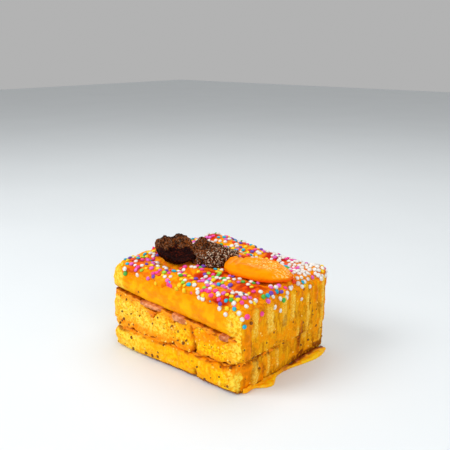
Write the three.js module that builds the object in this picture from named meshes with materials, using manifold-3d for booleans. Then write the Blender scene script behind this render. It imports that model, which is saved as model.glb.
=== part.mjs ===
// A block of layered anise-dough nougat: three layers of baked dough sticks, laid lengthwise, crosswise and
// lengthwise again, with fruit syrup between them, a syrup glaze full of sugar sprinkles on top, two prunes and
// half a dried apricot pressed into the glaze, and syrup that has run down the cut face into a pool at its foot.
// Millimetres, +Z up, the origin on the table under the middle of the block. +X is the cut face.

import * as THREE from "three";
import { MeshSurfaceSampler } from "three/addons/math/MeshSurfaceSampler.js";
import { mergeVertices } from "three/addons/utils/BufferGeometryUtils.js";
import Module from "manifold-3d";

// ---------------------------------------------------------------------------------------------------------------
// Driving dimensions
// ---------------------------------------------------------------------------------------------------------------

const CUT_FACE_X = 42.6; // the knife-cut face
const ROUND_END_X = -49; // where the dough sticks end in rounded tips
const FRONT_Y = -35.9; // the front, with the side of a whole stick along its top
const BACK_Y = 38.2; // the back
const DOUGH_TOP = 46.3; // top of the dough at the front edge
const SAG = 2.6; // how much lower the dough is at its back corner on the cut face
const LIFT = 5.7; // how much higher it is at its other back corner
const LOWER_JOINT = 12.7; // middle height of the syrup between the bottom and middle layers
const UPPER_JOINT = 29.7; // and between the middle and top layers
const BACK_SHORT = 12; // how much shorter the top layer's back sticks are at their rounded end
const SYRUP = 1.3; // thickness of the syrup between two layers
const GLAZE = 1.6; // thickness of the syrup on top
const GAP = 0.3; // clearance between pieces that touch

const SPRINKLE_RADIUS = 1.2;
const SPRINKLE_COUNT = 85;
const APRICOT = { x: 22.2, y: 1.4, halfLength: 18.6, halfWidth: 12.8, height: 7.6, turn: 4 };
const OPEN_PRUNE = { x: -20.6, y: -12.8, halfLength: 9.8, halfWidth: 8.8, back: 10.3, front: 1.7, turn: 41 };
const FOLDED_PRUNE = { x: -4.6, y: -0.4, halfLength: 13, halfWidth: 8.6, height: 8.6, turn: 42 };

// Where the sticks of each layer meet: place across the layer, slant along the stick, and how deep and how
// sharp the valley between the two rounded shoulders is. A pocket is a wider hollow at the front of the block.
const TOP_SEAMS = [
  { at: FRONT_Y, slant: 0, valley: 4.6, sharp: 4 },
  { at: -20.6, slant: -0.05, valley: 2.6, sharp: 5 },
  { at: -6.6, slant: 0.01, valley: 1.6, sharp: 5 },
  { at: 8.4, slant: 0.015, valley: 1.4, sharp: 5 },
  { at: 24, slant: 0.03, valley: 2.4, sharp: 5 },
  { at: BACK_Y, slant: 0, valley: 3.6, sharp: 4 },
];
const MIDDLE_SEAMS = [
  { at: -49, slant: 0, valley: 1.6, sharp: 5 },
  { at: -32.4, slant: 0.02, valley: 1.8, sharp: 5 },
  { at: -17.2, slant: -0.02, valley: 1.8, sharp: 3, pocket: 4.6 },
  { at: -2, slant: 0.01, valley: 1.8, sharp: 4, pocket: 2 },
  { at: 12, slant: -0.01, valley: 2.4, sharp: 4 },
  { at: 22.4, slant: 0.02, valley: 2.2, sharp: 4 },
  { at: 32.8, slant: 0, valley: 1.8, sharp: 4, pocket: 0.8 },
  { at: CUT_FACE_X, slant: 0, valley: 0.3, sharp: 6, cut: true },
];
const BOTTOM_SEAMS = [
  { at: -36.4, slant: 0.024, valley: 1, sharp: 5 },
  { at: -20.2, slant: 0.02, valley: 1.8, sharp: 5 },
  { at: -6.4, slant: -0.01, valley: 1.8, sharp: 5 },
  { at: 7.8, slant: 0, valley: 1.8, sharp: 5 },
  { at: 22.8, slant: -0.02, valley: 1.8, sharp: 5 },
  { at: 39, slant: 0, valley: 2.6, sharp: 5 },
];

// Stations along the sticks, closer where a stick rounds off.
const TOP_STATIONS = [ROUND_END_X, -46.4, -40, -22, -2, 17, 32, 38.4, 41.2, CUT_FACE_X];
const MIDDLE_STATIONS = [FRONT_Y, -33, -26, -9, 8, 25, BACK_Y - 0.3];
const BOTTOM_STATIONS = [-45.2, -42.6, -30, -15, 0, 11.6, 22, 33, 40.4];
const BOTTOM_SKEW = 0.03; // the bottom layer's cut end is askew: further out towards the back
const FRONT_CRACK_X = 11.6; // where the front stick of the bottom layer has snapped

// Lines across a stick and up its side, from edge to edge.
const ACROSS = [-1, -0.75, 0, 0.75, 1];
const UPWARDS = [-1, -0.4, 0.4, 1];

// ---------------------------------------------------------------------------------------------------------------
// Helpers
// ---------------------------------------------------------------------------------------------------------------

const { clamp, degToRad, lerp, mapLinear, smoothstep } = THREE.MathUtils;
const wasm = await Module();
wasm.setup();

// A smooth wrinkle of about -1 to 1 at a point, the same every time.
function wrinkle(x, y, z, size, phase = 0) {
  const u = x / size + phase,
    v = y / size + 1.7 * phase,
    w = z / size + 2.3 * phase;
  const slow = Math.sin(1.9 * u + 1.3 * v) * Math.cos(1.6 * w - 0.8 * u);
  const quick = Math.sin(3.7 * v + 2.9 * w) * Math.cos(3.1 * u + 1.1);
  return 0.65 * slow + 0.35 * quick;
}

// Vertices in the same place made one, and the faces that this closes up dropped.
function weld(geometry) {
  geometry.deleteAttribute("normal");
  geometry.deleteAttribute("uv");
  const merged = mergeVertices(geometry, 1e-4);
  const faces = merged.index.array;
  const kept = [];
  for (let i = 0; i < faces.length; i += 3) {
    const [a, b, c] = faces.slice(i, i + 3);
    if (a !== b && b !== c && c !== a) kept.push(a, b, c);
  }
  merged.setIndex(kept);
  return merged;
}

// Every vertex of a geometry moved by a function that changes the vector it is given.
function shape(geometry, move) {
  const place = geometry.getAttribute("position");
  const point = new THREE.Vector3();
  for (let i = 0; i < place.count; i++) {
    move(point.fromBufferAttribute(place, i));
    place.setXYZ(i, point.x, point.y, point.z);
  }
  return geometry;
}

// The closed skin of a box of cells: at(i, j, k) places the vertex at that corner of the grid.
function boxSkin(nx, ny, nz, at) {
  const numbers = new Map();
  const points = [];
  const faces = [];
  const vertex = (i, j, k) => {
    const key = (i * (ny + 1) + j) * (nz + 1) + k;
    if (!numbers.has(key)) {
      numbers.set(key, points.length);
      points.push(at(i, j, k));
    }
    return numbers.get(key);
  };
  const quad = (a, b, c, d) => faces.push(a, b, c, a, c, d);
  for (let i = 0; i < nx; i++)
    for (let j = 0; j < ny; j++) {
      quad(vertex(i, j, nz), vertex(i + 1, j, nz), vertex(i + 1, j + 1, nz), vertex(i, j + 1, nz));
      quad(vertex(i, j, 0), vertex(i, j + 1, 0), vertex(i + 1, j + 1, 0), vertex(i + 1, j, 0));
    }
  for (let i = 0; i < nx; i++)
    for (let k = 0; k < nz; k++) {
      quad(vertex(i, 0, k), vertex(i + 1, 0, k), vertex(i + 1, 0, k + 1), vertex(i, 0, k + 1));
      quad(vertex(i, ny, k), vertex(i, ny, k + 1), vertex(i + 1, ny, k + 1), vertex(i + 1, ny, k));
    }
  for (let j = 0; j < ny; j++)
    for (let k = 0; k < nz; k++) {
      quad(vertex(0, j, k), vertex(0, j, k + 1), vertex(0, j + 1, k + 1), vertex(0, j + 1, k));
      quad(vertex(nx, j, k), vertex(nx, j + 1, k), vertex(nx, j + 1, k + 1), vertex(nx, j, k + 1));
    }
  return new THREE.BufferGeometry().setFromPoints(points).setIndex(faces);
}

function toSolid(geometry) {
  return new wasm.Manifold(
    new wasm.Mesh({
      numProp: 3,
      vertProperties: geometry.getAttribute("position").array,
      triVerts: new Uint32Array(geometry.index.array),
    }),
  );
}

// The geometry of a solid's largest body: scraps that a cut has left loose are dropped.
function toGeometry(solid) {
  const bodies = solid.decompose().sort((a, b) => b.volume() - a.volume());
  const mesh = bodies[0].getMesh();
  return new THREE.BufferGeometry()
    .setAttribute("position", new THREE.BufferAttribute(mesh.vertProperties, 3))
    .setIndex(new THREE.BufferAttribute(mesh.triVerts, 1));
}

// A generator of numbers from 0 to 1 that gives the same row of them for the same seed.
function seeded(seed) {
  let state = seed;
  return () => {
    state = (state + 0x6d2b79f5) | 0;
    let t = Math.imul(state ^ (state >>> 15), 1 | state);
    t = (t + Math.imul(t ^ (t >>> 7), 61 | t)) ^ t;
    return ((t ^ (t >>> 14)) >>> 0) / 4294967296;
  };
}

// ---------------------------------------------------------------------------------------------------------------
// The block's inner surfaces
// ---------------------------------------------------------------------------------------------------------------

// The lower joint climbs towards the cut face, and curls up over the last stick, most at the front.
function lowerJoint(x, y) {
  const curl = clamp(mapLinear(x, 33, CUT_FACE_X, 0, 1), 0, 1) * clamp(mapLinear(y, 25, -9, 0, 1), 0, 1);
  return LOWER_JOINT + 0.03 * x + 3.4 * curl;
}

function upperJoint(x) {
  return UPPER_JOINT - 0.04 * x + 0.35 * Math.sin(x / 9);
}

function doughTop(x, y) {
  const along = (x - ROUND_END_X) / (CUT_FACE_X - ROUND_END_X);
  const across = (y - FRONT_Y) / (BACK_Y - FRONT_Y);
  return DOUGH_TOP - SAG * along * across ** 2 + LIFT * (1 - along) ** 2 * across;
}

// How far the top of a stick drops as it nears its rounded tip, and as it nears the cut face, where syrup has
// softened the edge least at the two corners. At the back corner it stands full.
function tipDrop(along) {
  return 1.5 * smoothstep(-along, 42, 49.6) ** 2;
}

function cutEdgeDrop(x, y) {
  const soft = 0.35 + 0.65 * smoothstep(y, -33, -14) - 0.6 * smoothstep(y, 24, 36);
  const full = 2.6 * smoothstep(x, 30, 41) * smoothstep(y, 27, 37);
  return 3.6 * soft * smoothstep(x, 36, 43.4) ** 2 - full;
}

// The upright corners of the block are rounded: near a corner every point is drawn in.
function roundCorners(point) {
  const x = point.x,
    y = point.y;
  const along = x / (x > 0 ? CUT_FACE_X : ROUND_END_X);
  const across = y / (y > 0 ? BACK_Y : FRONT_Y);
  point.x -= 1.5 * Math.sign(x) * across ** 9 * smoothstep(along, 0.55, 1);
  point.y -= 1.3 * Math.sign(y) * along ** 9 * smoothstep(across, 0.55, 1);
  return point;
}

// ---------------------------------------------------------------------------------------------------------------
// Dough sticks
// ---------------------------------------------------------------------------------------------------------------

const layers = {
  bottom: {
    seams: BOTTOM_SEAMS,
    stations: BOTTOM_STATIONS,
    lengthwise: true,
    floor: () => 0,
    roof: (x, y) => lowerJoint(x, y) - SYRUP / 2 - GAP,
    squareFoot: true,
    skew: BOTTOM_SKEW,
  },
  middle: {
    seams: MIDDLE_SEAMS,
    stations: MIDDLE_STATIONS,
    lengthwise: false,
    floor: (x, y) => lowerJoint(x, y) + SYRUP / 2 + GAP,
    roof: (x) => upperJoint(x) - SYRUP / 2 - GAP,
  },
  top: {
    seams: TOP_SEAMS,
    stations: TOP_STATIONS,
    lengthwise: true,
    floor: (x) => upperJoint(x) + SYRUP / 2 + GAP,
    roof: (x, y, along) => doughTop(x, y) - tipDrop(along) - cutEdgeDrop(x, y),
    backShort: BACK_SHORT,
  },
};

function seamPlace(seam, along) {
  return seam.at + seam.slant * along + (seam.slant ? 0.45 * Math.sin(along / 10 + seam.at) : 0);
}

// A valley, with the wide pocket that some have at the front of the block.
function valleyDepth(seam, along) {
  return seam.valley + (seam.pocket ?? 0) * (1 - smoothstep(along, -34, -22));
}

// The point of a stick at a place along it, across it from -1 to 1 and up it from -1 to 1.
function stickPoint(layer, number, along, across, up) {
  const left = layer.seams[number],
    right = layer.seams[number + 1];
  const start = seamPlace(left, along) + GAP / 2,
    end = seamPlace(right, along) - GAP / 2;
  const seam = across < 0 ? left : right;
  const outer = seam === layer.seams[0] || seam === layer.seams.at(-1);
  const rounding = seam.cut ? 0.02 : outer && !layer.squareFoot ? 0.15 : 0.1;
  const squeeze = 1 - rounding * up ** 4;
  const w = (start + end) / 2 + ((end - start) / 2) * across * squeeze;
  const skew = (layer.skew ?? 0) * w * smoothstep(along, 20, 40);
  const drawnIn = (layer.backShort ?? 0) * smoothstep(w, 2, 22) * smoothstep(-along, 8, 47);
  const x = layer.lengthwise ? along + skew + drawnIn : w;
  const y = layer.lengthwise ? w : along;
  const reach = Math.abs(across);
  const roof = layer.roof(x, y, along) - valleyDepth(seam, along) * reach ** seam.sharp;
  const rise = layer.squareFoot ? (reach === 1 ? 0.6 : 0) : (seam.cut ? 0.3 : 1.3) * reach ** 6;
  const floor = layer.floor(x, y) + rise;
  return new THREE.Vector3(x, y, lerp(floor, roof, (up + 1) / 2));
}

// A stick that runs along X, between two stations. Its end is craggy where it was cut or has snapped, and bulges
// where it is rounded.
function lengthwiseStick(layer, number, from = 0, to = layer.stations.length - 1) {
  const cells = to - from;
  return boxSkin(cells, ACROSS.length - 1, UPWARDS.length - 1, (i, j, k) => {
    const point = stickPoint(layer, number, layer.stations[from + i], ACROSS[j], UPWARDS[k]);
    const crag = wrinkle(point.x, point.y, point.z, 4, number);
    const middle = (1 - ACROSS[j] ** 2) * (1 - UPWARDS[k] ** 2);
    if (from + i === 0) point.x -= (1.1 + 0.5 * crag) * Math.sqrt(middle);
    else if (i === 0) point.x += 0.4 + 0.2 * crag;
    else if (i === cells) point.x -= 0.35 - 0.3 * crag;
    return roundCorners(point);
  });
}

// A stick that runs along Y. Both its ends are craggy cuts, and the outermost stick's flank bulges.
function crosswiseStick(layer, number) {
  const cells = layer.stations.length - 1;
  return boxSkin(ACROSS.length - 1, cells, UPWARDS.length - 1, (j, i, k) => {
    const point = stickPoint(layer, number, layer.stations[i], ACROSS[j], UPWARDS[k]);
    const end = i === 0 ? -1 : i === cells ? 1 : 0;
    const crag = wrinkle(point.x, point.y, point.z, 3.2, 2 * number);
    const side = number === 0 && j === 0 ? -0.9 * (1 - UPWARDS[k] ** 2) : 0;
    point.x += side;
    point.y += end * (0.45 * crag - 0.45);
    return roundCorners(point);
  });
}

// ---------------------------------------------------------------------------------------------------------------
// Syrup between the layers
// ---------------------------------------------------------------------------------------------------------------

// The lines that run along a layer's roof: each stick's own, with one line for each valley between two sticks.
function roofLines(layer) {
  const lines = [];
  for (let number = 0; number < layer.seams.length - 1; number++)
    for (const across of ACROSS.slice(0, -1)) lines.push([number, across]);
  lines.push([layer.seams.length - 2, 1]);
  return lines;
}

// The place on the roof where a line meets a station, before the block's corners are rounded.
function roofPoint(layer, [number, across], along) {
  const point = stickPoint(layer, number, along, across, 1);
  if (across === -1 && number > 0) point.lerp(stickPoint(layer, number - 1, along, 1, 1), 0.5);
  return point;
}

// Syrup that fills a layer's valleys and lies between it and the next layer.
function syrupSheet(layer, joint, inset) {
  const lines = roofLines(layer);
  const place = (line, station, k) => {
    const point = roofPoint(layer, lines[line], layer.stations[station]);
    const under = point.z + GAP;
    point.x = clamp(point.x, inset.low, inset.high);
    const over = joint(point.x, point.y) + SYRUP / 2;
    point.z = k ? over : Math.min(under, over - 0.9 * SYRUP);
    return roundCorners(point);
  };
  return layer.lengthwise
    ? boxSkin(layer.stations.length - 1, lines.length - 1, 1, (i, j, k) => place(j, i, k))
    : boxSkin(lines.length - 1, layer.stations.length - 1, 1, (i, j, k) => place(i, j, k));
}

// ---------------------------------------------------------------------------------------------------------------
// Candied fruit caught in the upper syrup at the front
// ---------------------------------------------------------------------------------------------------------------

const FRUIT_PIECES = [
  { name: "candied_fruit_long", x: -17.4, sunk: 1.4, size: [14.6, 4.6, 2.7], tip: 2 },
  { name: "candied_fruit_short", x: 2.6, sunk: 1.5, size: [9.2, 4.2, 2.6], tip: 5 },
  { name: "candied_fruit_small", x: 31.6, sunk: 1.1, size: [4.6, 3.6, 2.1], tip: -3 },
];

// A cut cube of fruit drawn out into a strip; grown by a clearance for the hollow it lies in.
function fruitPiece({ x, sunk, size, tip }, grown = 0) {
  const [length, depth, height] = size;
  const y = FRONT_Y + depth / 2 + 0.4;
  const geometry = boxSkin(4, 2, 2, (i, j, k) => {
    const u = i / 2 - 1,
      v = j - 1,
      w = k - 1;
    const taper = 1 - 0.35 * u ** 4;
    const lump = 1 + 0.1 * wrinkle(9 * u, 5 * v, 5 * w, 3, x);
    return new THREE.Vector3(
      u * (length / 2 + grown),
      v * (depth / 2 + grown) * taper * (1 - 0.15 * Math.abs(w)),
      w * (height / 2 + grown) * taper * lump * (1 - 0.15 * Math.abs(v)),
    );
  });
  return geometry.rotateY(degToRad(tip)).translate(x, y, upperJoint(x) - sunk);
}

// ---------------------------------------------------------------------------------------------------------------
// Toppings
// ---------------------------------------------------------------------------------------------------------------

const GLAZE_TOP = GLAZE + GAP; // above the dough
const TOPPING_SINK = 0.4; // how far a topping has settled into the glaze

// The level on which a topping lies.
function seat(x, y) {
  return doughTop(x, y) + GLAZE_TOP - TOPPING_SINK;
}

function settle(geometry, { x, y, turn }) {
  geometry.rotateZ(degToRad(turn)).translate(x, y, 0);
  return shape(geometry, (point) => {
    point.z += seat(point.x, point.y);
  });
}

// Half a dried apricot: a thick rolled rim round a shallow hollow, flat below.
function apricot(grown = 0) {
  const { halfLength, halfWidth, height } = APRICOT;
  const ball = weld(new THREE.SphereGeometry(1, 18, 9).rotateX(Math.PI / 2));
  shape(ball, (point) => {
    const out = Math.hypot(point.x, point.y);
    const angle = Math.atan2(point.y, point.x);
    const edge = 1 + 0.05 * Math.sin(2 * angle + 1) + 0.035 * Math.sin(5 * angle);
    const over = Math.max(point.z, 0);
    const hollow = 0.34 * Math.exp(-((out / 0.55) ** 2)) * over;
    const fold = 0.12 * Math.exp(-(((point.x + 0.55) / 0.16) ** 2)) * over;
    const rise = height * (over ** 0.7 - hollow - fold + 0.05 * over * wrinkle(point.x, point.y, 0, 0.5));
    const belly = point.z < 0 ? 1 - 0.25 * point.z ** 2 : 1;
    point.x *= (halfLength + grown) * edge * belly;
    point.y *= (halfWidth + grown) * edge * belly;
    point.z = Math.max(rise, 0) + (point.z < -0.3 ? -grown : grown * (point.z > 0.3 ? 1 : 0));
  });
  return settle(ball, APRICOT);
}

// A pitted prune laid open like a cup, its wall standing up at the back and low at the front.
function openPrune(grown = 0) {
  const { halfLength, halfWidth, back, front } = OPEN_PRUNE;
  const profile = [
    [0, 0, 0],
    [0.6, 0, 0],
    [0.92, 0, 0.42],
    [1.03, 0, 0.86],
    [0.98, 0, 1],
    [0.86, 0, 0.93],
    [0.72, 0.9, 0.5],
    [0.4, 1.7, 0.12],
    [0, 1.8, 0],
  ]; // radius, height kept all round, share of the wall's height
  const turned = new THREE.LatheGeometry(
    profile.map(([r], i) => new THREE.Vector2(r, i)),
    18,
  ).rotateX(Math.PI / 2);
  const cup = shape(weld(turned), (point) => {
    const [radius, kept, share] = profile[Math.round(point.z)];
    const angle = Math.atan2(point.y, point.x);
    const facing = 0.5 + 0.5 * Math.sin(angle - 0.5);
    const ragged = 1 + 0.07 * Math.sin(5 * angle + 1) + 0.07 * Math.sin(9 * angle);
    const wall = lerp(front, back * ragged, facing ** 0.5);
    const crumple = 1 + 0.07 * Math.sin(4 * angle + 3 * share) + 0.04 * Math.sin(7 * angle);
    const lean = 1 + 0.12 * share;
    const outside = Math.round(point.z) < 4 ? grown : 0;
    point.x = Math.cos(angle) * (radius * halfLength * crumple * lean + outside);
    point.y = Math.sin(angle) * (radius * halfWidth * crumple * lean + outside) + 1.2 * share * facing;
    if (radius === 0) point.x = point.y = 0;
    point.z = kept + share * wall - (kept + share === 0 ? grown : 0);
  });
  return settle(weld(cup), OPEN_PRUNE);
}

// A prune folded over on itself, with one corner of skin standing up at the end by the open one.
function foldedPrune(grown = 0) {
  const { halfLength, halfWidth, height } = FOLDED_PRUNE;
  const ball = weld(new THREE.SphereGeometry(1, 18, 10).rotateX(Math.PI / 2));
  shape(ball, (point) => {
    const over = Math.max(point.z, 0);
    const angle = Math.atan2(point.y, point.x);
    const edge = 1 + 0.06 * Math.sin(3 * angle) + 0.05 * Math.sin(7 * angle + 1);
    const folds = 0.16 * Math.sin(6.5 * point.x + 3 * point.y) * over;
    const crease = -0.26 * Math.exp(-(((point.y - 0.15 * Math.sin(4 * point.x)) / 0.2) ** 2)) * over;
    const corner = 0.95 * Math.exp(-(((point.x + 0.6) / 0.28) ** 2) - ((point.y - 0.35) / 0.3) ** 2) * over;
    const rise = height * (over ** 0.65 + folds + crease + corner);
    const belly = point.z < 0 ? 1 - 0.25 * point.z ** 2 : 1;
    point.x *= (halfLength + grown) * edge * belly;
    point.y *= (halfWidth + grown) * edge * belly;
    point.z = Math.max(rise, 0) + (point.z < -0.3 ? -grown : grown * (point.z > 0.3 ? 1 : 0));
  });
  return settle(ball, FOLDED_PRUNE);
}

// The folded prune nestles between the other two toppings: where they press into it, it gives way.
function nestledPrune(grown = 0) {
  let solid = toSolid(foldedPrune(grown));
  for (const neighbour of [apricot, openPrune]) solid = solid.subtract(toSolid(neighbour(GAP)));
  return toGeometry(solid);
}

// ---------------------------------------------------------------------------------------------------------------
// Glaze, drips and sprinkles
// ---------------------------------------------------------------------------------------------------------------

// Runs of syrup down the cut face: place across it, half width, thickness, and the heights of top and foot.
const DRIPS = [
  { at: -32.2, half: 2.1, thick: 1.2, top: 45.6, foot: 17.2 },
  { at: -24.4, half: 1.3, thick: 0.9, top: 43.8, foot: 34.5 },
  { at: -16.2, half: 1.1, thick: 0.8, top: 42.6, foot: 31.5 },
  { at: -7.4, half: 1.4, thick: 0.9, top: 42.4, foot: 27.6 },
  { at: 3.2, half: 1.2, thick: 0.8, top: 42, foot: 31.8 },
  { at: 13.2, half: 1.5, thick: 0.9, top: 41.6, foot: 24.2 },
  { at: 24.6, half: 1.2, thick: 0.8, top: 41.2, foot: 28.6 },
];
const SKIRT_ROWS = [0.8, 2.6]; // how far the glaze reaches below the cut edge

// A run of syrup with a flat back against the cut face, thin at the top and ending in a round bead.
function drip({ at, half, thick, top, foot }) {
  const rows = 4;
  return boxSkin(1, 3, rows, (i, j, k) => {
    const side = (2 * j) / 3 - 1;
    const down = k / rows;
    const bead = 0.75 + 0.35 * Math.sin(Math.PI * Math.min(1, (1 - down) * 2.2)) * (1 - down);
    const round = k === 0 ? 0.45 : k === 1 ? 0.9 : 1;
    const y = at + half * side * round * (0.82 + 0.18 * Math.cos(5 * down)) * bead;
    const front = thick * bead * round * Math.sqrt(1 - 0.9 * side ** 2);
    return new THREE.Vector3(CUT_FACE_X + 0.3 + i * front, y, lerp(foot, top, down));
  });
}

// A point of the glaze: underneath it follows the dough, and on top it is smoother. It starts just short of the
// sticks' rounded tips and ends over the edge of the cut face.
function glazePoint(line, row, k) {
  const layer = layers.top;
  const lines = roofLines(layer);
  const last = layer.stations.length - 1;
  const station = row + 1;
  const [number, across] = lines[line];
  const point = roofPoint(layer, lines[line], layer.stations[Math.min(station, last)]);
  const seam = across < 0 ? layer.seams[number] : layer.seams[number + 1];
  const valley = seam.valley * Math.abs(across) ** seam.sharp;
  const side = line === 0 ? -1 : line === lines.length - 1 ? 1 : 0;
  point.z += GAP;
  if (station >= last) {
    point.x = CUT_FACE_X + 0.15;
    if (station > last) point.z -= SKIRT_ROWS[station - last - 1];
    if (k) point.x += side ? 0.5 : [0.9, 1.2, 0.5][station - last];
    if (k && station === last) point.z += 1;
  } else if (k) {
    const ripple = 0.12 * wrinkle(point.x, point.y, 0, 7);
    point.z += side || row === 0 ? 1 : GLAZE + 0.55 * valley + ripple;
    point.y += 0.3 * side;
  }
  return roundCorners(point);
}

const GLAZE_LINES = roofLines(layers.top).length - 1;
const GLAZE_ROWS = TOP_STATIONS.length - 2 + SKIRT_ROWS.length;

// The outer face of the glaze alone, short of its skirt, on which the sprinkles lie.
function glazeFace() {
  const rows = GLAZE_ROWS - SKIRT_ROWS.length;
  const points = [];
  const faces = [];
  for (let i = 0; i <= rows; i++)
    for (let j = 0; j <= GLAZE_LINES; j++) points.push(glazePoint(j, i, 1));
  for (let i = 0; i < rows; i++)
    for (let j = 0; j < GLAZE_LINES; j++) {
      const corner = i * (GLAZE_LINES + 1) + j;
      const beyond = corner + GLAZE_LINES + 1;
      faces.push(corner, beyond, beyond + 1, corner, beyond + 1, corner + 1);
    }
  const geometry = new THREE.BufferGeometry().setFromPoints(points).setIndex(faces);
  geometry.computeVertexNormals();
  return geometry;
}

// Whether a sprinkle here would touch a topping.
function underTopping({ x, y }) {
  return [APRICOT, OPEN_PRUNE, FOLDED_PRUNE].some((topping) => {
    const away = new THREE.Vector2(x - topping.x, y - topping.y).rotateAround(
      new THREE.Vector2(),
      -degToRad(topping.turn),
    );
    const reach = 2.6 * SPRINKLE_RADIUS;
    return (away.x / (topping.halfLength + reach)) ** 2 + (away.y / (topping.halfWidth + reach)) ** 2 < 1;
  });
}

// Sprinkles: each lies at the best of a few draws, the one furthest from those already placed, and stands on one
// corner, sunk in by a third of its radius.
function sprinkles() {
  const sampler = new MeshSurfaceSampler(new THREE.Mesh(glazeFace()));
  sampler.setRandomGenerator(seeded(7)).build();
  const ball = weld(new THREE.IcosahedronGeometry(SPRINKLE_RADIUS, 0));
  const corner = new THREE.Vector3().fromBufferAttribute(ball.getAttribute("position"), 0).normalize();
  const places = [];
  const balls = [];
  while (places.length < SPRINKLE_COUNT) {
    let best = null;
    let room = -1;
    for (let draw = 0; draw < 14; draw++) {
      const point = new THREE.Vector3();
      const normal = new THREE.Vector3();
      sampler.sample(point, normal);
      const nearest = Math.min(...places.map((other) => other.distanceTo(point)), 99);
      if (nearest > room && !underTopping(point)) {
        room = nearest;
        best = { point, normal };
      }
    }
    if (!best) continue;
    places.push(best.point);
    const down = best.normal.clone().negate();
    const centre = best.point.clone().addScaledVector(best.normal, 0.66 * SPRINKLE_RADIUS);
    const turn = new THREE.Quaternion().setFromUnitVectors(corner, down);
    balls.push(ball.clone().applyQuaternion(turn).translate(centre.x, centre.y, centre.z));
  }
  return balls;
}

// The glaze with a seat pressed in it for each topping, and its drips and sprinkles fused on.
function glaze() {
  let solid = toSolid(boxSkin(GLAZE_ROWS, GLAZE_LINES, 1, (i, j, k) => glazePoint(j, i, k)));
  for (const topping of [apricot, openPrune, foldedPrune]) solid = solid.subtract(toSolid(topping(GAP)));
  for (const run of DRIPS) solid = solid.add(toSolid(drip(run)));
  for (const ball of sprinkles()) solid = solid.add(toSolid(ball));
  return toGeometry(solid);
}

// ---------------------------------------------------------------------------------------------------------------
// Pool of syrup at the foot of the cut face
// ---------------------------------------------------------------------------------------------------------------

const POOL_SHORE = new THREE.SplineCurve(
  [
    [40.5, -30.5],
    [41.1, -23.8],
    [45.2, -19.2],
    [46.2, -14.6],
    [42.8, -8.4],
    [42, -3],
    [43.4, 5],
    [45.6, 13],
    [47.3, 20.5],
    [47.1, 28],
    [45, 34.5],
  ].map(([x, y]) => new THREE.Vector2(x, y)),
);
const POOL_DEPTH = 1.5;

// Just off the cut face of the bottom layer.
function bottomFace(y) {
  return roundCorners(new THREE.Vector3(BOTTOM_STATIONS.at(-1) + BOTTOM_SKEW * y + GAP, y, 0)).x;
}

function pool() {
  const steps = 20;
  const shares = [0, 0.35, 0.8, 1];
  return boxSkin(shares.length - 1, steps, 1, (i, j, k) => {
    const shore = POOL_SHORE.getPoint(j / steps);
    const x = lerp(bottomFace(shore.y), shore.x, shares[i]);
    const ends = smoothstep(Math.min(j, steps - j), -1, 3);
    const climb = [1.5, 0.9, 0.85, 0.25][i];
    const height = POOL_DEPTH * climb * (0.35 + 0.65 * ends) * (1 + 0.12 * wrinkle(x, shore.y, 0, 5));
    return new THREE.Vector3(x + (k && i === 3 ? -0.25 : 0), shore.y, k ? Math.max(height, 0.3) : 0);
  });
}

// The broad run down the face of the bottom layer at the front corner, which ends in the pool. It is a little wider
// and thinner at its head.
const FEED_MIDDLE = -28.2;
const FEED_HEIGHT = 13.2;

function feed() {
  const rows = 4;
  return boxSkin(1, 4, rows, (i, j, k) => {
    const side = j / 2 - 1;
    const up = k / rows;
    const spread = lerp(3, 3.6, up) * (k === rows ? 0.7 : 1);
    const front = lerp(1.4, 0.8, up) * Math.sqrt(1 - 0.9 * side ** 2);
    const y = FEED_MIDDLE + spread * side;
    return new THREE.Vector3(bottomFace(y) + i * front, y, FEED_HEIGHT * up);
  });
}

// ---------------------------------------------------------------------------------------------------------------
// The block put together
// ---------------------------------------------------------------------------------------------------------------

const crust = new THREE.MeshStandardMaterial({ color: 0xf5b21e, roughness: 0.45, metalness: 0 });
const crumb = new THREE.MeshStandardMaterial({ color: 0xf3c04a, roughness: 0.8, metalness: 0 });
const syrup = new THREE.MeshStandardMaterial({ color: 0xc86a12, roughness: 0.15, metalness: 0 });
const glazeSyrup = new THREE.MeshStandardMaterial({ color: 0xf07a14, roughness: 0.15, metalness: 0 });
const candied = new THREE.MeshStandardMaterial({ color: 0xe08a70, roughness: 0.3, metalness: 0 });
const prune = new THREE.MeshStandardMaterial({ color: 0x3a1c12, roughness: 0.35, metalness: 0 });
const apricotFlesh = new THREE.MeshStandardMaterial({ color: 0xf79a14, roughness: 0.4, metalness: 0 });

const block = new THREE.Group();

function place(name, geometry, material) {
  geometry.computeVertexNormals();
  const mesh = new THREE.Mesh(geometry, material);
  mesh.name = name;
  block.add(mesh);
}

// Bottom layer: five sticks, the front one snapped in two.
const crack = BOTTOM_STATIONS.indexOf(FRONT_CRACK_X);
place("bottom_stick_1_left", lengthwiseStick(layers.bottom, 0, 0, crack), crumb);
place("bottom_stick_1_right", lengthwiseStick(layers.bottom, 0, crack), crumb);
for (let number = 1; number < BOTTOM_SEAMS.length - 1; number++)
  place("bottom_stick_" + (number + 1), lengthwiseStick(layers.bottom, number), crumb);

place("syrup_lower", syrupSheet(layers.bottom, lowerJoint, { low: -43.4, high: 39.8 }), syrup);

// Middle layer, with the syrup over it, both hollowed out where the candied fruit lies.
function hollowed(geometry) {
  const solid = toSolid(geometry);
  return toGeometry(
    FRUIT_PIECES.reduce((left, piece) => left.subtract(toSolid(fruitPiece(piece, GAP))), solid),
  );
}
for (let number = 0; number < MIDDLE_SEAMS.length - 1; number++)
  place("middle_stick_" + (number + 1), hollowed(crosswiseStick(layers.middle, number)), crumb);
place("syrup_upper", hollowed(syrupSheet(layers.middle, upperJoint, { low: -47.6, high: 42.2 })), syrup);
for (const piece of FRUIT_PIECES) place(piece.name, fruitPiece(piece), candied);

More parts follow.
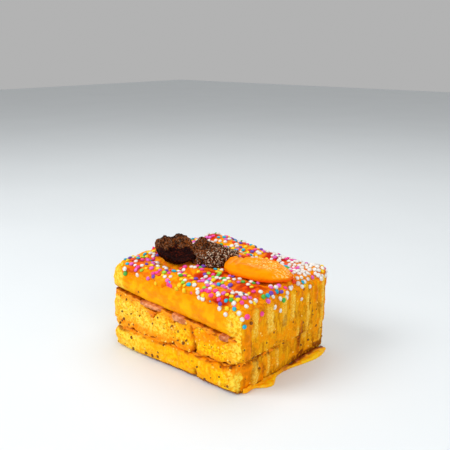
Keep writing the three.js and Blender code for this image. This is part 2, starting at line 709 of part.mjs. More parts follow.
for (let number = 0; number < TOP_SEAMS.length - 1; number++)
  place("top_stick_" + (number + 1), lengthwiseStick(layers.top, number), crust);

place("glaze_with_sprinkles", glaze(), glazeSyrup);
place("syrup_pool", toGeometry(toSolid(pool()).add(toSolid(feed()))), glazeSyrup);
place("prune_open", openPrune(), prune);
place("prune_folded", nestledPrune(), prune);
place("apricot_half", apricot(), apricotFlesh);

export default block;
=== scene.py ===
import math

import bpy
import numpy as np
from mathutils import Matrix, Vector, noise
from mathutils.bvhtree import BVHTree


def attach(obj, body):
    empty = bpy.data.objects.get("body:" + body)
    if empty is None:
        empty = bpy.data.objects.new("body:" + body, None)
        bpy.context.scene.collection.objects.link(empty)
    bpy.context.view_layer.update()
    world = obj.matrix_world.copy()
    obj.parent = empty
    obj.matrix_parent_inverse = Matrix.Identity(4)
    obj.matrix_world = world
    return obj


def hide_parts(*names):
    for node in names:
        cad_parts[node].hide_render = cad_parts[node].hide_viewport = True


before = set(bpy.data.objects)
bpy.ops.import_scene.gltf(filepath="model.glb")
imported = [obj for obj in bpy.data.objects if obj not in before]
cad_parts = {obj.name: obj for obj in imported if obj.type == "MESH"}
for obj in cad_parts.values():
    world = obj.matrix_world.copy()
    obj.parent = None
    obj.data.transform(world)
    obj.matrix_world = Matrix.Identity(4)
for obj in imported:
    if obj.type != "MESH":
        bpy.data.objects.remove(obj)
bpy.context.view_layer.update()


# --------------------------------------------------------------------------------------------------
# Bottom layer
# --------------------------------------------------------------------------------------------------
# Five sticks of yellow egg dough with anise seed, baked, laid side by side and grown together. The front
# one has snapped in two. The outside is a soft golden skin, and the cut end is open crumb.

MM = 0.001
LAYER_VOXEL = 0.5 * MM
MOST_REACH = 2.5  # mm, the most that a layer is swollen to fill its crevices
CUT_FACE_X = 42.6
LOWER_JOINT = 12.7  # the height of the joint over the bottom layer, half way along
JOINT_SLOPE = 0.03
JOINT_CURL = 3.4  # how far that joint rises at the front of the cut end
BOTTOM_CRACK_X = 11.6  # where the front stick has snapped

SKIN_BROWN = (0.93, 0.29, 0.0005)
SKIN_GOLD = (0.98, 0.45, 0.001)
SKIN_LIGHT = (0.98, 0.56, 0.01)
CRUMB_ORANGE = (0.90, 0.33, 0.001)
CRUMB_YELLOW = (0.98, 0.62, 0.006)
CRUMB_PALE = (0.98, 0.74, 0.14)
CREAM_DEEP = (0.95, 0.46, 0.006)
CREAM_LIGHT = (0.98, 0.72, 0.08)
# The next two are painted shade: in the crumb's small holes, and in the hollows that its relief pressed in.
CRUMB_PIT_SHADE = (0.76, 0.25, 0.001)
CRUMB_HOLLOW_SHADE = (0.70, 0.18, 0.001)
SOAKED_DOUGH = (0.93, 0.26, 0.0005)
# Brown for syrup stains along the joints, and for painted shade under overhangs and in cracks.
BROWN_STAIN_AND_SHADE = (0.30, 0.048, 0.001)


def select_only(*pieces):
    bpy.ops.object.select_all(action="DESELECT")
    for piece in pieces:
        piece.select_set(True)
    bpy.context.view_layer.objects.active = pieces[-1]


def modify(piece, kind, **settings):
    """Adds a modifier with these settings and applies it."""
    select_only(piece)
    modifier = piece.modifiers.new(kind.lower(), kind)
    for setting, value in settings.items():
        setattr(modifier, setting, value)
    bpy.ops.object.modifier_apply(modifier=modifier.name)


def merged_copy(name, nodes):
    """One new mesh of copies of CAD nodes, with each one's loose triangles joined up."""
    copies = []
    for node in nodes:
        copy = bpy.data.objects.new(name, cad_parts[node].data.copy())
        copy.data.materials.clear()
        bpy.context.scene.collection.objects.link(copy)
        copies.append(copy)
    select_only(*copies)
    if len(copies) > 1:
        bpy.ops.object.join()
    piece = bpy.context.view_layer.objects.active
    piece.name = name
    piece.data.name = name
    bpy.ops.object.mode_set(mode="EDIT")
    bpy.ops.mesh.select_all(action="SELECT")
    bpy.ops.mesh.remove_doubles(threshold=0.001 * MM)
    bpy.ops.object.mode_set(mode="OBJECT")
    return piece


def places(piece):
    """The places of a mesh's vertices in millimetres, one row each."""
    flat = np.empty(len(piece.data.vertices) * 3, np.float32)
    piece.data.vertices.foreach_get("co", flat)
    return flat.reshape(-1, 3).astype(float) / MM


def facings(piece):
    """The normals of a mesh's vertices."""
    flat = np.empty(len(piece.data.vertices) * 3, np.float32)
    piece.data.vertex_normals.foreach_get("vector", flat)
    return flat.reshape(-1, 3).astype(float)


def put(piece, points):
    """Moves a mesh's vertices to these places."""
    piece.data.vertices.foreach_set("co", (points * MM).astype(np.float32).ravel())
    piece.data.update()


def ramp(values, low, high):
    """0 below low, 1 above high, and smooth between; low may be the larger."""
    t = np.clip((np.asarray(values, float) - low) / (high - low), 0, 1)
    return t * t * (3 - 2 * t)


def lumps(points, size, stretch=(1, 1, 1), shift=0):
    """Smooth noise of about -1 to 1 with lumps of a size in millimetres."""
    scaled = points / (size * np.array(stretch)) + shift
    return np.array([noise.noise(row) for row in scaled])


def weigh(piece, group, weights):
    """A vertex group with these weights, for a modifier to read."""
    vertex_group = piece.vertex_groups.new(name=group)
    for index, weight in enumerate(weights):
        if weight > 0.01:
            vertex_group.add([index], float(weight), "REPLACE")


def paint(piece, attribute, values):
    """A number for each vertex, for the material to read."""
    layer = piece.data.attributes.new(attribute, "FLOAT", "POINT")
    layer.data.foreach_set("value", np.asarray(values, np.float32))


def relief(piece, kind, size, height, group="", level=0.5, **settings):
    """Raises and lowers a mesh by a procedural texture whose lumps have a size in millimetres."""
    texture = bpy.data.textures.new("relief", kind)
    texture.noise_scale = size * MM
    for setting, value in settings.items():
        setattr(texture, setting, value)
    chosen = dict(texture=texture, texture_coords="LOCAL", vertex_group=group)
    modify(piece, "DISPLACE", strength=height * MM, mid_level=level, **chosen)
    bpy.data.textures.remove(texture)


def close_up(piece, reach_of):
    """Fills a mesh's narrow crevices: swells it, remeshes it and draws it back in. reach_of gives how far
    for each point, and a crevice narrower than twice that is filled."""
    modify(piece, "REMESH", mode="VOXEL", voxel_size=LAYER_VOXEL)
    for way in (1, -1):
        weigh(piece, "reach", reach_of(places(piece)) / MOST_REACH)
        modify(piece, "DISPLACE", strength=way * MOST_REACH * MM, mid_level=0, vertex_group="reach")
        piece.vertex_groups.clear()
        modify(piece, "REMESH", mode="VOXEL", voxel_size=LAYER_VOXEL, use_smooth_shade=True)


def rest_on_board(piece):
    """Flattens what has sunk below the board."""
    points = places(piece)
    points[:, 2] = np.maximum(points[:, 2], 0)
    put(piece, points)


def dough_layer(name, nodes, crumb_of, reach_of, settle):
    """A layer of sticks grown together: smooth where it has skin, and crumbly where crumb_of says so.
    settle moves its points to where the weight of the layers has pressed them together."""
    piece = merged_copy(name, nodes)
    close_up(piece, reach_of)
    modify(piece, "LAPLACIANSMOOTH", iterations=3, lambda_factor=1.5)
    put(piece, settle(places(piece)))
    points = places(piece)
    normals = facings(piece)
    cut = crumb_of(points, normals)
    weigh(piece, "rough", cut)
    relief(piece, "CLOUDS", 8, 0.5)
    relief(piece, "CLOUDS", 2.6, 1.1, "rough", noise_depth=3)
    relief(piece, "VORONOI", 3.0, 0.9, "rough", level=0.35)
    relief(piece, "CLOUDS", 1.2, 0.7, "rough", noise_depth=2)
    paint(piece, "crumb", cut)
    paint(piece, "rise", np.sum((places(piece) - points) * normals, axis=1))
    rest_on_board(piece)
    return piece


def joint_curl(points):
    """How far the joint over the bottom layer has risen at the cut end, from its back to its front."""
    return JOINT_CURL * np.clip((25 - points[:, 1]) / 34, 0, 1)


def lower_joint(points):
    """The height of the joint over the bottom layer."""
    end = ramp(points[:, 0], 33, CUT_FACE_X)
    return LOWER_JOINT + JOINT_SLOPE * points[:, 0] + end * joint_curl(points)


def bottom_crumb(points, normals):
    """Open crumb at both ends, and less of it on the long sides."""
    front = 0.4 * ramp(-normals[:, 1], 0.3, 0.8)
    corner = 0.5 * ramp(points[:, 0], 24, 36) * ramp(-normals[:, 1], 0.3, 0.8)
    ends = ramp(np.abs(normals[:, 0]), 0.4, 0.8)
    back = 0.6 * ramp(normals[:, 1], 0.3, 0.8)
    return np.clip(front + corner + ends + back, 0, 1)


def bottom_reach(points):
    """Wide crevices are filled at the cut end, which the knife has smeared, and the crack stays open."""
    x, _, z = points.T
    crack = ramp(np.abs(x - BOTTOM_CRACK_X), 3, 1.5) * ramp(z, 8, 4)
    return 0.8 + 1.2 * ramp(x, 36, 40) - 0.6 * crack


def crack_depth(points, at, half):
    """1 along an upright crack that wanders about a place, and 0 beside it."""
    x, _, z = points.T
    wander = at + 0.8 * np.sin(z / 2.3) + 1.2 * lumps(points * (0, 0, 1), 3, shift=at)
    return np.exp(-(((x - wander) / half) ** 2))


def bottom_settle(points):
    """The upper side is pressed to the joint, the crack is open, the foot is rounded off and the left end
    bulges."""
    x, y, z = points.T
    front = ramp(-y, 29, 33)
    z += (0.4 + 0.6 * front) * ramp(z, 6, 12)
    crack = (0.5 + 2.4 * ramp(z, 6, 3)) * crack_depth(points, BOTTOM_CRACK_X, 0.9)
    y += crack * front
    y += 0.9 * ramp(z, 1.6, 0.2) * ramp(-y, 28, 33)
    bulge = np.exp(-(((z - 7.5) / 3.6) ** 2)) * ramp(-y, 22, 32)
    x -= 3.2 * ramp(-x, 40, 45.5) * bulge
    return points


BOTTOM_NODES = [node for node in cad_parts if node.startswith("bottom_stick")]
bottom_layer = dough_layer("bottom_layer", BOTTOM_NODES, bottom_crumb, bottom_reach, bottom_settle)


class Build:
    """A short way to write a node tree: each call adds a node, sets its inputs and returns an output."""

    def __init__(self, tree):
        self.tree = tree

    def add(self, kind, inputs=(), out=0, **settings):
        node = self.tree.nodes.new(kind)
        for setting, value in settings.items():
            setattr(node, setting, value)
        for name, value in dict(inputs).items():
            self.feed(node.inputs[name], value)
        return node.outputs[out]

    def feed(self, socket, value):
        if isinstance(value, bpy.types.NodeSocket):
            self.tree.links.new(value, socket)
        elif isinstance(value, tuple) and len(value) == 3 and socket.type == "RGBA":
            socket.default_value = (*value, 1)
        else:
            socket.default_value = value

    def math(self, operation, a, b):
        return self.add("ShaderNodeMath", {0: a, 1: b}, operation=operation)

    def noise(self, where, size, detail=2.0, rough=0.5):
        """Noise from 0 to 1 with lumps of a size in millimetres."""
        inputs = {"Vector": where, "Scale": 1 / (size * MM), "Detail": detail, "Roughness": rough}
        return self.add("ShaderNodeTexNoise", inputs)

    def remap(self, value, low, high, to_low=0.0, to_high=1.0):
        """Carries the range low to high smoothly over to another one."""
        inputs = {0: value, 1: low, 2: high, 3: to_low, 4: to_high}
        return self.add("ShaderNodeMapRange", inputs, interpolation_type="SMOOTHSTEP")

    def mix(self, factor, a, b):
        return self.add("ShaderNodeMix", {0: factor, 6: a, 7: b}, out=2, data_type="RGBA")

    def attribute(self, name):
        return self.add("ShaderNodeAttribute", out=2, attribute_name=name)

    def bump(self, height, strength, depth):
        inputs = {"Strength": strength, "Distance": depth * MM, "Height": height}
        return self.add("ShaderNodeBump", inputs)

    def speckle(self, where, size, low, high, least=0.0, most=1.0, detail=2.0, rough=0.5):
        """A mask of specks of a size in millimetres, which fades in as the noise goes from low to high."""
        inputs = {"Place": where, "Scale": 1 / (size * MM), "Detail": detail, "Roughness": rough}
        inputs.update({"Low": low, "High": high, "Least": least, "Most": most})
        return self.add("ShaderNodeGroup", inputs, node_tree=speckle_effect)

    def grain(self, where, size, strength, depth, detail=2.0, rough=0.5):
        """The normal of a surface with grains of a size and depth in millimetres."""
        inputs = {"Place": where, "Scale": 1 / (size * MM), "Detail": detail, "Roughness": rough}
        inputs.update({"Strength": strength, "Depth": depth * MM})
        return self.add("ShaderNodeGroup", inputs, node_tree=grain_effect)


def effect(name, input_names, output_name, output_kind, wire):
    """A node group for an effect that several materials use. Its first input is a place, the rest are
    numbers, and wire puts its nodes in."""
    group = bpy.data.node_groups.new(name, "ShaderNodeTree")
    for number, socket in enumerate(input_names):
        kind = "NodeSocketFloat" if number else "NodeSocketVector"
        group.interface.new_socket(socket, in_out="INPUT", socket_type=kind)
    group.interface.new_socket(output_name, in_out="OUTPUT", socket_type=output_kind)
    given = group.nodes.new("NodeGroupInput").outputs
    made = group.nodes.new("NodeGroupOutput").inputs
    group.links.new(wire(Build(group), given), made[output_name])
    return group


def group_noise(b, given):
    inputs = {"Vector": given["Place"], **{name: given[name] for name in ("Scale", "Detail", "Roughness")}}
    return b.add("ShaderNodeTexNoise", inputs)


def wire_speckle(b, given):
    return b.remap(group_noise(b, given), *[given[name] for name in ("Low", "High", "Least", "Most")])


def wire_grain(b, given):
    inputs = {"Strength": given["Strength"], "Distance": given["Depth"], "Height": group_noise(b, given)}
    return b.add("ShaderNodeBump", inputs)


NOISE_INPUTS = ("Place", "Scale", "Detail", "Roughness")
SPECKLE_INPUTS = (*NOISE_INPUTS, "Low", "High", "Least", "Most")
GRAIN_INPUTS = (*NOISE_INPUTS, "Strength", "Depth")
speckle_effect = effect("speckle", SPECKLE_INPUTS, "Mask", "NodeSocketFloat", wire_speckle)
grain_effect = effect("grain", GRAIN_INPUTS, "Normal", "NodeSocketVector", wire_grain)


def new_material(name, paint_it, **finish):
    """A material whose colour, roughness and so on come from paint_it, and the rest from fixed values."""
    material = bpy.data.materials.new(name)
    material.use_nodes = True
    build = Build(material.node_tree)
    shader = material.node_tree.nodes["Principled BSDF"]
    where = build.add("ShaderNodeTexCoord", out=3)
    for socket, value in {**paint_it(build, where), **finish}.items():
        build.feed(shader.inputs[socket.replace("_", " ")], value)
    return material


def dough_look(b, where):
    """Golden skin or flecked crumb, with painted shade in its small holes and in the hollows of the relief,
    syrup soaked in, and brown along the joints and cracks: partly syrup staining, partly painted shade.
    """
    crumb = b.attribute("crumb")
    cream = b.attribute("cream")
    skin = b.mix(b.speckle(where, 5, 0.38, 0.54, detail=3.0), SKIN_BROWN, SKIN_GOLD)
    skin = b.mix(b.speckle(where, 1.6, 0.55, 0.75, 0, 0.5, detail=3.0, rough=0.7), skin, SKIN_LIGHT)
    fleck = b.speckle(where, 1.7, 0.42, 0.56, detail=4.0, rough=0.7)
    yellow = b.mix(fleck, CRUMB_ORANGE, CRUMB_YELLOW)
    creamy = b.mix(fleck, CREAM_DEEP, CREAM_LIGHT)
    open_crumb = b.mix(cream, yellow, creamy)
    pale = b.speckle(where, 3.0, 0.55, 0.68, 0, 0.8, detail=5.0, rough=0.7)
    open_crumb = b.mix(pale, open_crumb, CRUMB_PALE)
    base = b.mix(b.remap(b.math("MAXIMUM", crumb, cream), 0.05, 0.7), skin, open_crumb)
    # Small holes in the crumb, painted darker as shade.
    pit_shade = b.speckle(where, 1.4, 0.43, 0.35, 0.0, 0.9, detail=3.0, rough=0.6)
    base = b.mix(b.math("MULTIPLY", crumb, pit_shade), base, CRUMB_PIT_SHADE)
    # Painted shade in the hollows that the relief has pressed in, where rise is below zero.
    base = b.mix(b.remap(b.attribute("rise"), -0.05, -0.7), base, CRUMB_HOLLOW_SHADE)
    patchy = b.speckle(where, 3.5, 0.3, 0.55, 0.35, 1.0, detail=4.0, rough=0.6)
    soak = b.math("MULTIPLY", b.attribute("wet"), patchy)
    base = b.mix(soak, base, SOAKED_DOUGH)
    # Brown along the joints and cracks: partly syrup staining, partly painted shade.
    base = b.mix(b.math("MULTIPLY", b.attribute("stain_and_shade"), patchy), base, BROWN_STAIN_AND_SHADE)
    gloss = b.math("ADD", b.remap(crumb, 0.0, 1.0, 0.5, 0.8), b.math("MULTIPLY", soak, -0.45))
    grain = b.grain(where, 0.7, 0.5, 0.35, detail=4.0, rough=0.7)
    return {"Base Color": base, "Roughness": gloss, "Normal": grain}


anise_dough = new_material("anise_dough", dough_look, Specular_IOR_Level=0.04)
bottom_layer.data.materials.append(anise_dough)
points = places(bottom_layer)
x, y, z = points.T
soaked = ramp(z + lumps(points, 4), 9.5, 12.5) + 0.35 * ramp(lumps(points, 9), 0.1, 0.5)
paint(bottom_layer, "wet", np.clip(soaked, 0, 1))
# Brown under the joint is syrup staining and painted shade of the middle layer's overhang, brown down the
# crack is painted shade, and the foot at the left is painted darker.
below_joint = lower_joint(points) - z + 0.8 * lumps(points, 2.5)
stain_and_shade = 0.8 * ramp(below_joint, 2.2, 0.8) * ramp(lumps(points, 4, shift=8), -0.3, 0.1)
stain_and_shade += 0.6 * crack_depth(points, BOTTOM_CRACK_X, 1.6) * ramp(z, 7, 3)
foot_line = z + 0.5 * lumps(points, 3, shift=1) + 0.6 * ramp(-x, 0, 20)
stain_and_shade += 1.2 * ramp(foot_line, 2.3, 1.5) * ramp(x, -38, -10)
paint(bottom_layer, "stain_and_shade", np.clip(stain_and_shade * ramp(-y, 28, 33), 0, 1))
creamy = 0.7 * ramp(x, 0, -35) + 0.8 * ramp(x, 31, 37)
paint(bottom_layer, "cream", np.clip(creamy, 0, 1))
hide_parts(*BOTTOM_NODES)
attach(bottom_layer, "root")


# --------------------------------------------------------------------------------------------------
# Lower syrup
# --------------------------------------------------------------------------------------------------
# Fruit syrup spread over the bottom layer. It fills the valleys between the sticks, holds the layers
# together and has set to a soft amber jelly. Where it lies covered it is painted dark: shade under the
# layer above, with crumb in it.

JELLY_DEEP = (0.86, 0.22, 0.0005)
JELLY_LIGHT = (0.95, 0.33, 0.0005)
JELLY_BROWN = (0.50, 0.10, 0.001)
COVERED_SHADE_DARK = (0.16, 0.024, 0.0005)
COVERED_SHADE_BROWN = (0.45, 0.09, 0.001)


def syrup_sheet(name, node, inset, cut_inset, joint_of):
    """A sheet of syrup, set back by inset at its edges and by cut_inset more at the cut end: orange where
    it fills the valleys under the joint, and painted dark where the next layer covers it, as shade under
    that layer with crumb in it."""
    piece = merged_copy(name, [node])
    modify(piece, "REMESH", mode="VOXEL", voxel_size=0.45 * MM, use_smooth_shade=True)
    modify(piece, "SMOOTH", factor=0.5, iterations=4)
    points = places(piece)
    x, y, z = points.T
    above = z - joint_of(points)
    x -= inset * np.sign(x) * ramp(np.abs(x), 36, 44)
    x -= cut_inset * ramp(x, 33, 39)
    uneven = inset * (1 + 1.2 * lumps(points * (1, 1, 0), 5))
    y -= uneven * np.sign(y) * ramp(np.abs(y), 26, 33)
    put(piece, points)
    relief(piece, "CLOUDS", 3.5, 0.9, noise_depth=2)
    relief(piece, "CLOUDS", 1.1, 0.4)
    # Painted shade, dark brown, where the next layer covers the sheet and overhangs it.
    covered = np.maximum(ramp(-y, 22, 28), ramp(x, 34, 38))
    paint(piece, "dark", covered * ramp(above + 0.4 * lumps(points, 2), 0.1, 0.8))
    return piece


def syrup_look(b, where):
    """Mottled amber jelly with brown specks, and a darker one where it is covered: painted shade under the
    layer above, with crumb in it.
    """
    jelly = b.mix(b.speckle(where, 5, 0.35, 0.6, detail=3.0), JELLY_DEEP, JELLY_LIGHT)
    jelly = b.mix(b.speckle(where, 1.6, 0.58, 0.7, detail=3.0), jelly, JELLY_BROWN)
    dark = b.mix(b.speckle(where, 2.0, 0.4, 0.65, detail=3.0), COVERED_SHADE_DARK, COVERED_SHADE_BROWN)
    base = b.mix(b.attribute("dark"), jelly, dark)
    gloss = b.speckle(where, 2.5, 0.3, 0.7, 0.2, 0.45)
    return {"Base Color": base, "Roughness": gloss, "Normal": b.grain(where, 1.2, 0.3, 0.3)}


set_syrup = new_material("set_syrup", syrup_look, Specular_IOR_Level=0.12)
lower_syrup = syrup_sheet("lower_syrup", "syrup_lower", 1.0, 2.5, lower_joint)
lower_syrup.data.materials.append(set_syrup)
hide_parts("syrup_lower")
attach(lower_syrup, "root")


# --------------------------------------------------------------------------------------------------
# Middle layer
# --------------------------------------------------------------------------------------------------
# Seven sticks of the same dough laid crosswise, so that their cut ends show as open crumb at the front.
# They have soaked up syrup from both sides, and two of them have come apart a little.

MIDDLE_GAP_X = 12.0
FRUIT_POCKETS = [(-17.2, 8.5), (-2, 5), (32.8, 3)]  # place and half width of the gaps that hold fruit


def upper_joint(x):
    """The height of the joint over the middle layer."""
    return 29.7 - 0.04 * x + 0.35 * np.sin(x / 9)


def middle_crumb(points, normals):
    """Open crumb at the front and back, where the sticks end, and at the cut end."""
    front = ramp(-normals[:, 1], 0.2, 0.7)
    ends = 0.8 * ramp(np.abs(normals[:, 0]), 0.4, 0.8)
    back = ramp(normals[:, 1], 0.3, 0.8)
    return np.clip(front + ends + back, 0, 1)


def middle_reach(points):
    """The sticks have grown together more at the left and at the cut end."""
    x, _, z = points.T
    left = 1.2 * ramp(x, -4, -12) * ramp(z, 26, 22)
    cut_end = 1.3 * ramp(x, 37, 40)
    return 0.9 + left + cut_end


def middle_settle(points):
    """Both sides are pressed to the joints, but not at the fruit, and the gap between two sticks is open."""
    x, y, z = points.T
    front = ramp(-y, 30, 34)
    pocket = sum(np.exp(-(((x - at) / half) ** 2)) for at, half in FRUIT_POCKETS)
    below_joint = upper_joint(x) - z
    z += (0.5 + front * (1 - np.minimum(pocket, 1))) * ramp(below_joint, 4.5, 1)
    below_joint = upper_joint(x) - z
    z += 0.9 * ramp(x, 32, 36) * ramp(below_joint, 6, 2)
    right_foot = front * ramp(np.abs(x - 25), 12, 8)
    z -= (0.3 + 0.5 * front - 0.7 * right_foot) * ramp(z, 20, 16)
    gap = (1.1 + 2.0 * ramp(z, 20, 17)) * crack_depth(points, MIDDLE_GAP_X, 0.8)
    y += gap * front
    return points


MIDDLE_NODES = [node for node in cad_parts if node.startswith("middle_stick")]
middle_layer = dough_layer("middle_layer", MIDDLE_NODES, middle_crumb, middle_reach, middle_settle)
middle_layer.data.materials.append(anise_dough)
points = places(middle_layer)
x, y, z = points.T
below_joint = upper_joint(x) - z
soaked = ramp(below_joint, 5.0, 0.5) * ramp(lumps(points, 6), -0.5, 0.1)
soaked += (0.35 + 0.45 * ramp(x, 0, 22)) * ramp(lumps(points, 7, shift=3), 0.0, 0.35)
# Darker orange along the gap between two sticks: soaked syrup, and painted shade in the crack.
soaked += 0.7 * ramp(np.abs(x - MIDDLE_GAP_X), 2.5, 0.5) * ramp(-y, 30, 34)
soaked += 0.8 * ramp(z, 18.5, 15)
soaked *= ramp(x + 2 * lumps(points, 5, shift=11), 40, 33)
paint(middle_layer, "wet", np.clip(soaked, 0, 1))
# Painted shade under the overhang of the top roll and down the gap between two sticks, and brown broken
# along the lower joint that is partly syrup staining and partly painted shade.
under_roll = ramp(np.abs(x - 17), 18, 12)
stain_and_shade = 0.8 * ramp(below_joint + 0.8 * lumps(points, 2.5), 1.8, 0.5) * under_roll
stain_and_shade += (0.4 + 0.5 * ramp(z, 21, 18)) * crack_depth(points, MIDDLE_GAP_X, 1.3)
above_lower = z - lower_joint(points) + 0.8 * lumps(points, 2.5, shift=5)
broken = ramp(lumps(points, 4, shift=2) + 0.02 * x, -0.2, 0.2)
stain_and_shade += 0.8 * ramp(above_lower, 2.2, 0.8) * broken
paint(middle_layer, "stain_and_shade", np.clip(stain_and_shade * ramp(-y, 28, 33), 0, 1))
creamy = ramp(x, 15, -25) + 0.8 * ramp(x, 31, 37)
paint(middle_layer, "cream", np.clip(creamy, 0, 1))
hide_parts(*MIDDLE_NODES)
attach(middle_layer, "root")


# --------------------------------------------------------------------------------------------------
# Upper syrup
# --------------------------------------------------------------------------------------------------
# The same syrup spread over the middle layer. At the front it has soaked into the sticks and hangs down
# between them, and it carries the strips of fruit.

def upper_joint_at(points):
    return upper_joint(points[:, 0])


upper_syrup = syrup_sheet("upper_syrup", "syrup_upper", 0.2, 0.0, upper_joint_at)
upper_syrup.data.materials.append(set_syrup)
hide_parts("syrup_upper")
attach(upper_syrup, "root")


# --------------------------------------------------------------------------------------------------
# Candied fruit
# --------------------------------------------------------------------------------------------------
# Three strips of pink fruit, cooked in sugar until they are half clear, cut small and caught in the upper
# syrup at the front, where the top layer presses on them.

FRUIT_DEEP = (0.52, 0.13, 0.018)
FRUIT_PINK = (0.82, 0.32, 0.12)
FRUIT_BROWN = (0.40, 0.07, 0.02)


def candied_look(b, where):
    flesh = b.mix(b.speckle(where, 2.2, 0.3, 0.7, detail=3.0), FRUIT_DEEP, FRUIT_PINK)
    base = b.mix(b.speckle(where, 5, 0.5, 0.68), flesh, FRUIT_BROWN)
    return {"Base Color": base, "Normal": b.grain(where, 0.8, 0.5, 0.4, detail=3.0)}


candied_fruit = new_material("candied_fruit", candied_look, Roughness=0.3, Specular_IOR_Level=0.4)
for size in ("long", "short", "small"):
    strip = merged_copy("fruit_strip_" + size, ["candied_fruit_" + size])
    modify(strip, "REMESH", mode="VOXEL", voxel_size=0.3 * MM, use_smooth_shade=True)
    modify(strip, "SMOOTH", factor=0.5, iterations=3)
    modify(strip, "DISPLACE", strength=0.6 * MM, mid_level=0)
    points = places(strip)
    _, y, z = points.T
    y -= 0.8
    squeezed = 0.3 if size == "long" else 0
    z += 0.8 + squeezed * (z.max() - z)
    put(strip, points)
    relief(strip, "CLOUDS", 2.2, 0.9)
    strip.data.materials.append(candied_fruit)
    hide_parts("candied_fruit_" + size)
    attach(strip, "root")


# --------------------------------------------------------------------------------------------------
# Top layer
# --------------------------------------------------------------------------------------------------
# Five sticks laid lengthwise. The whole side of the front one shows: a smooth, golden, slightly sticky roll
# that ends in a rounded tip at one end and in a pale crumbly cut at the other.

def top_crumb(points, normals):
    """Open crumb at the cut end and its corner, some at the rounded ends, and hardly any on the roll."""
    x, _, z = points.T
    front = 0.14 * ramp(-normals[:, 1], 0.2, 0.7)
    corner = 0.8 * ramp(x + 1.5 * lumps(points, 5), 31, 36) * ramp(-normals[:, 1], 0.2, 0.7)
    tip = 0.6 * ramp(-x, 42, 46) * ramp(z, 48, 45)
    cut_end = 0.9 * ramp(normals[:, 0], 0.4, 0.8)
    back = 0.2 * ramp(normals[:, 1], 0.3, 0.8)
    return np.clip(front + (cut_end + tip) + corner + back, 0, 1)


def top_reach(points):
    """The glaze fills the valleys on top, and the knife has closed those of the cut end."""
    x, _, z = points.T
    return 0.9 + 1.4 * ramp(z, 38, 41) + 0.2 * ramp(x, 37, 40)


def top_settle(points):
    """The lower side is pressed to the joint, most at the front of the cut end."""
    x, y, z = points.T
    corner = ramp(x, 32, 36)
    front = ramp(-y, 28, 33)
    z -= (0.35 + 0.4 * front + 0.6 * corner) * ramp(z - upper_joint(x), 5, 1)
    return points


TOP_NODES = [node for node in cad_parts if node.startswith("top_stick")]
top_layer = dough_layer("top_layer", TOP_NODES, top_crumb, top_reach, top_settle)
top_layer.data.materials.append(anise_dough)
points = places(top_layer)
x, _, z = points.T
left_end = ramp(x + 2 * lumps(points, 6), -34, -43)
right_end = ramp(x + 1.5 * lumps(points, 5), 31, 36) * ramp(z, 44, 41)
soaked = 0.9 * ramp(z + 3 * lumps(points, 8, shift=4), 37.5, 43) * (1 - 0.8 * left_end)
soaked += 0.6 * ramp(z - upper_joint(x), 3.0, 0.5)
soaked += 0.7 * ramp(lumps(points, 5, (2, 1, 1), 7), 0.05, 0.35) * ramp(x, -44, -34)
paint(top_layer, "wet", np.clip(soaked * (1 - right_end), 0, 1))
paint(top_layer, "cream", np.clip(0.9 * left_end * ramp(z, 46, 42) + 0.7 * right_end, 0, 1))
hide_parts(*TOP_NODES)
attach(top_layer, "root")


# --------------------------------------------------------------------------------------------------
# Cut face
# --------------------------------------------------------------------------------------------------
# The knife has dragged a thin coat of crumb and syrup down the cut end, over the joint between the top and
# middle layers. Pale ridges of crumb stand up in it between runs of syrup.

# Each band has a place across the face, half a width, a top and a foot.
CRUMB_RIDGES = [
    (-26.2, 2.0, 42.5, 29.0), (-15.2, 2.6, 41.0, 27.0), (-3.6, 1.6, 42.0, 26.5), (3.6, 1.7, 41.0, 27.5),
    (17.0, 1.3, 37.0, 12.0), (31.5, 1.7, 43.0, 5.0), (-12.8, 1.4, 15.5, 3.0), (-22.4, 2.2, 14.0, 0.5),
    (-5.5, 1.1, 14.5, 4.0), (8.0, 1.5, 22.0, 15.0),
]
SYRUP_RUNS = [
    (-31.2, 2.5, 47.0, 17.5), (-23.0, 1.4, 45.0, 35.0), (-9.2, 1.6, 43.0, 36.0), (-20.5, 1.2, 45.0, 39.0),
    (11.4, 1.3, 44.0, 36.0), (24.4, 1.3, 44.0, 30.0), (-28.0, 3.4, 15.0, 0.0), (-17.6, 1.3, 11.0, 1.0),
    (0.2, 1.5, 44.0, 37.5), (11.6, 1.2, 24.0, 6.0), (28.0, 1.6, 44.0, 38.5), (7.2, 1.2, 44.0, 39.0),
    (-12.0, 1.0, 44.0, 39.5), (-28.0, 1.0, 44.0, 40.5), (20.0, 1.2, 44.0, 37.0), (35.0, 1.6, 44.0, 36.0),
]
FACE_LOW, FACE_HIGH = 0.3, 43.5
FACE_LEFT, FACE_RIGHT = -36.2, 38.6
FACE_COLUMNS, FACE_ROWS = 185, 106
FACE_BARE = 36.0  # where the coat lies when there is no dough in front of it
FACE_JOINT = 14.0  # the height of the lower joint at the back of the cut end
PROBE_START = 60  # mm, from where the dough is felt for, inwards
PROBE_LENGTH = 30

COAT_BROWN = (0.56, 0.19, 0.0005)
COAT_YELLOW = (0.88, 0.40, 0.003)
COAT_ORANGE = (0.88, 0.30, 0.0005)
COAT_FLECK = (0.92, 0.50, 0.015)
RIDGE_DEEP = (0.84, 0.36, 0.003)
RIDGE_SANDY = (0.96, 0.66, 0.10)
RUN_ORANGE = (0.92, 0.27, 0.0003)
RUN_BROWN = (0.70, 0.20, 0.001)
# Painted shade in the joint gap, and the darker brown at the foot and in smears.
SHADE_AND_SMEAR_BROWN = (0.22, 0.040, 0.001)

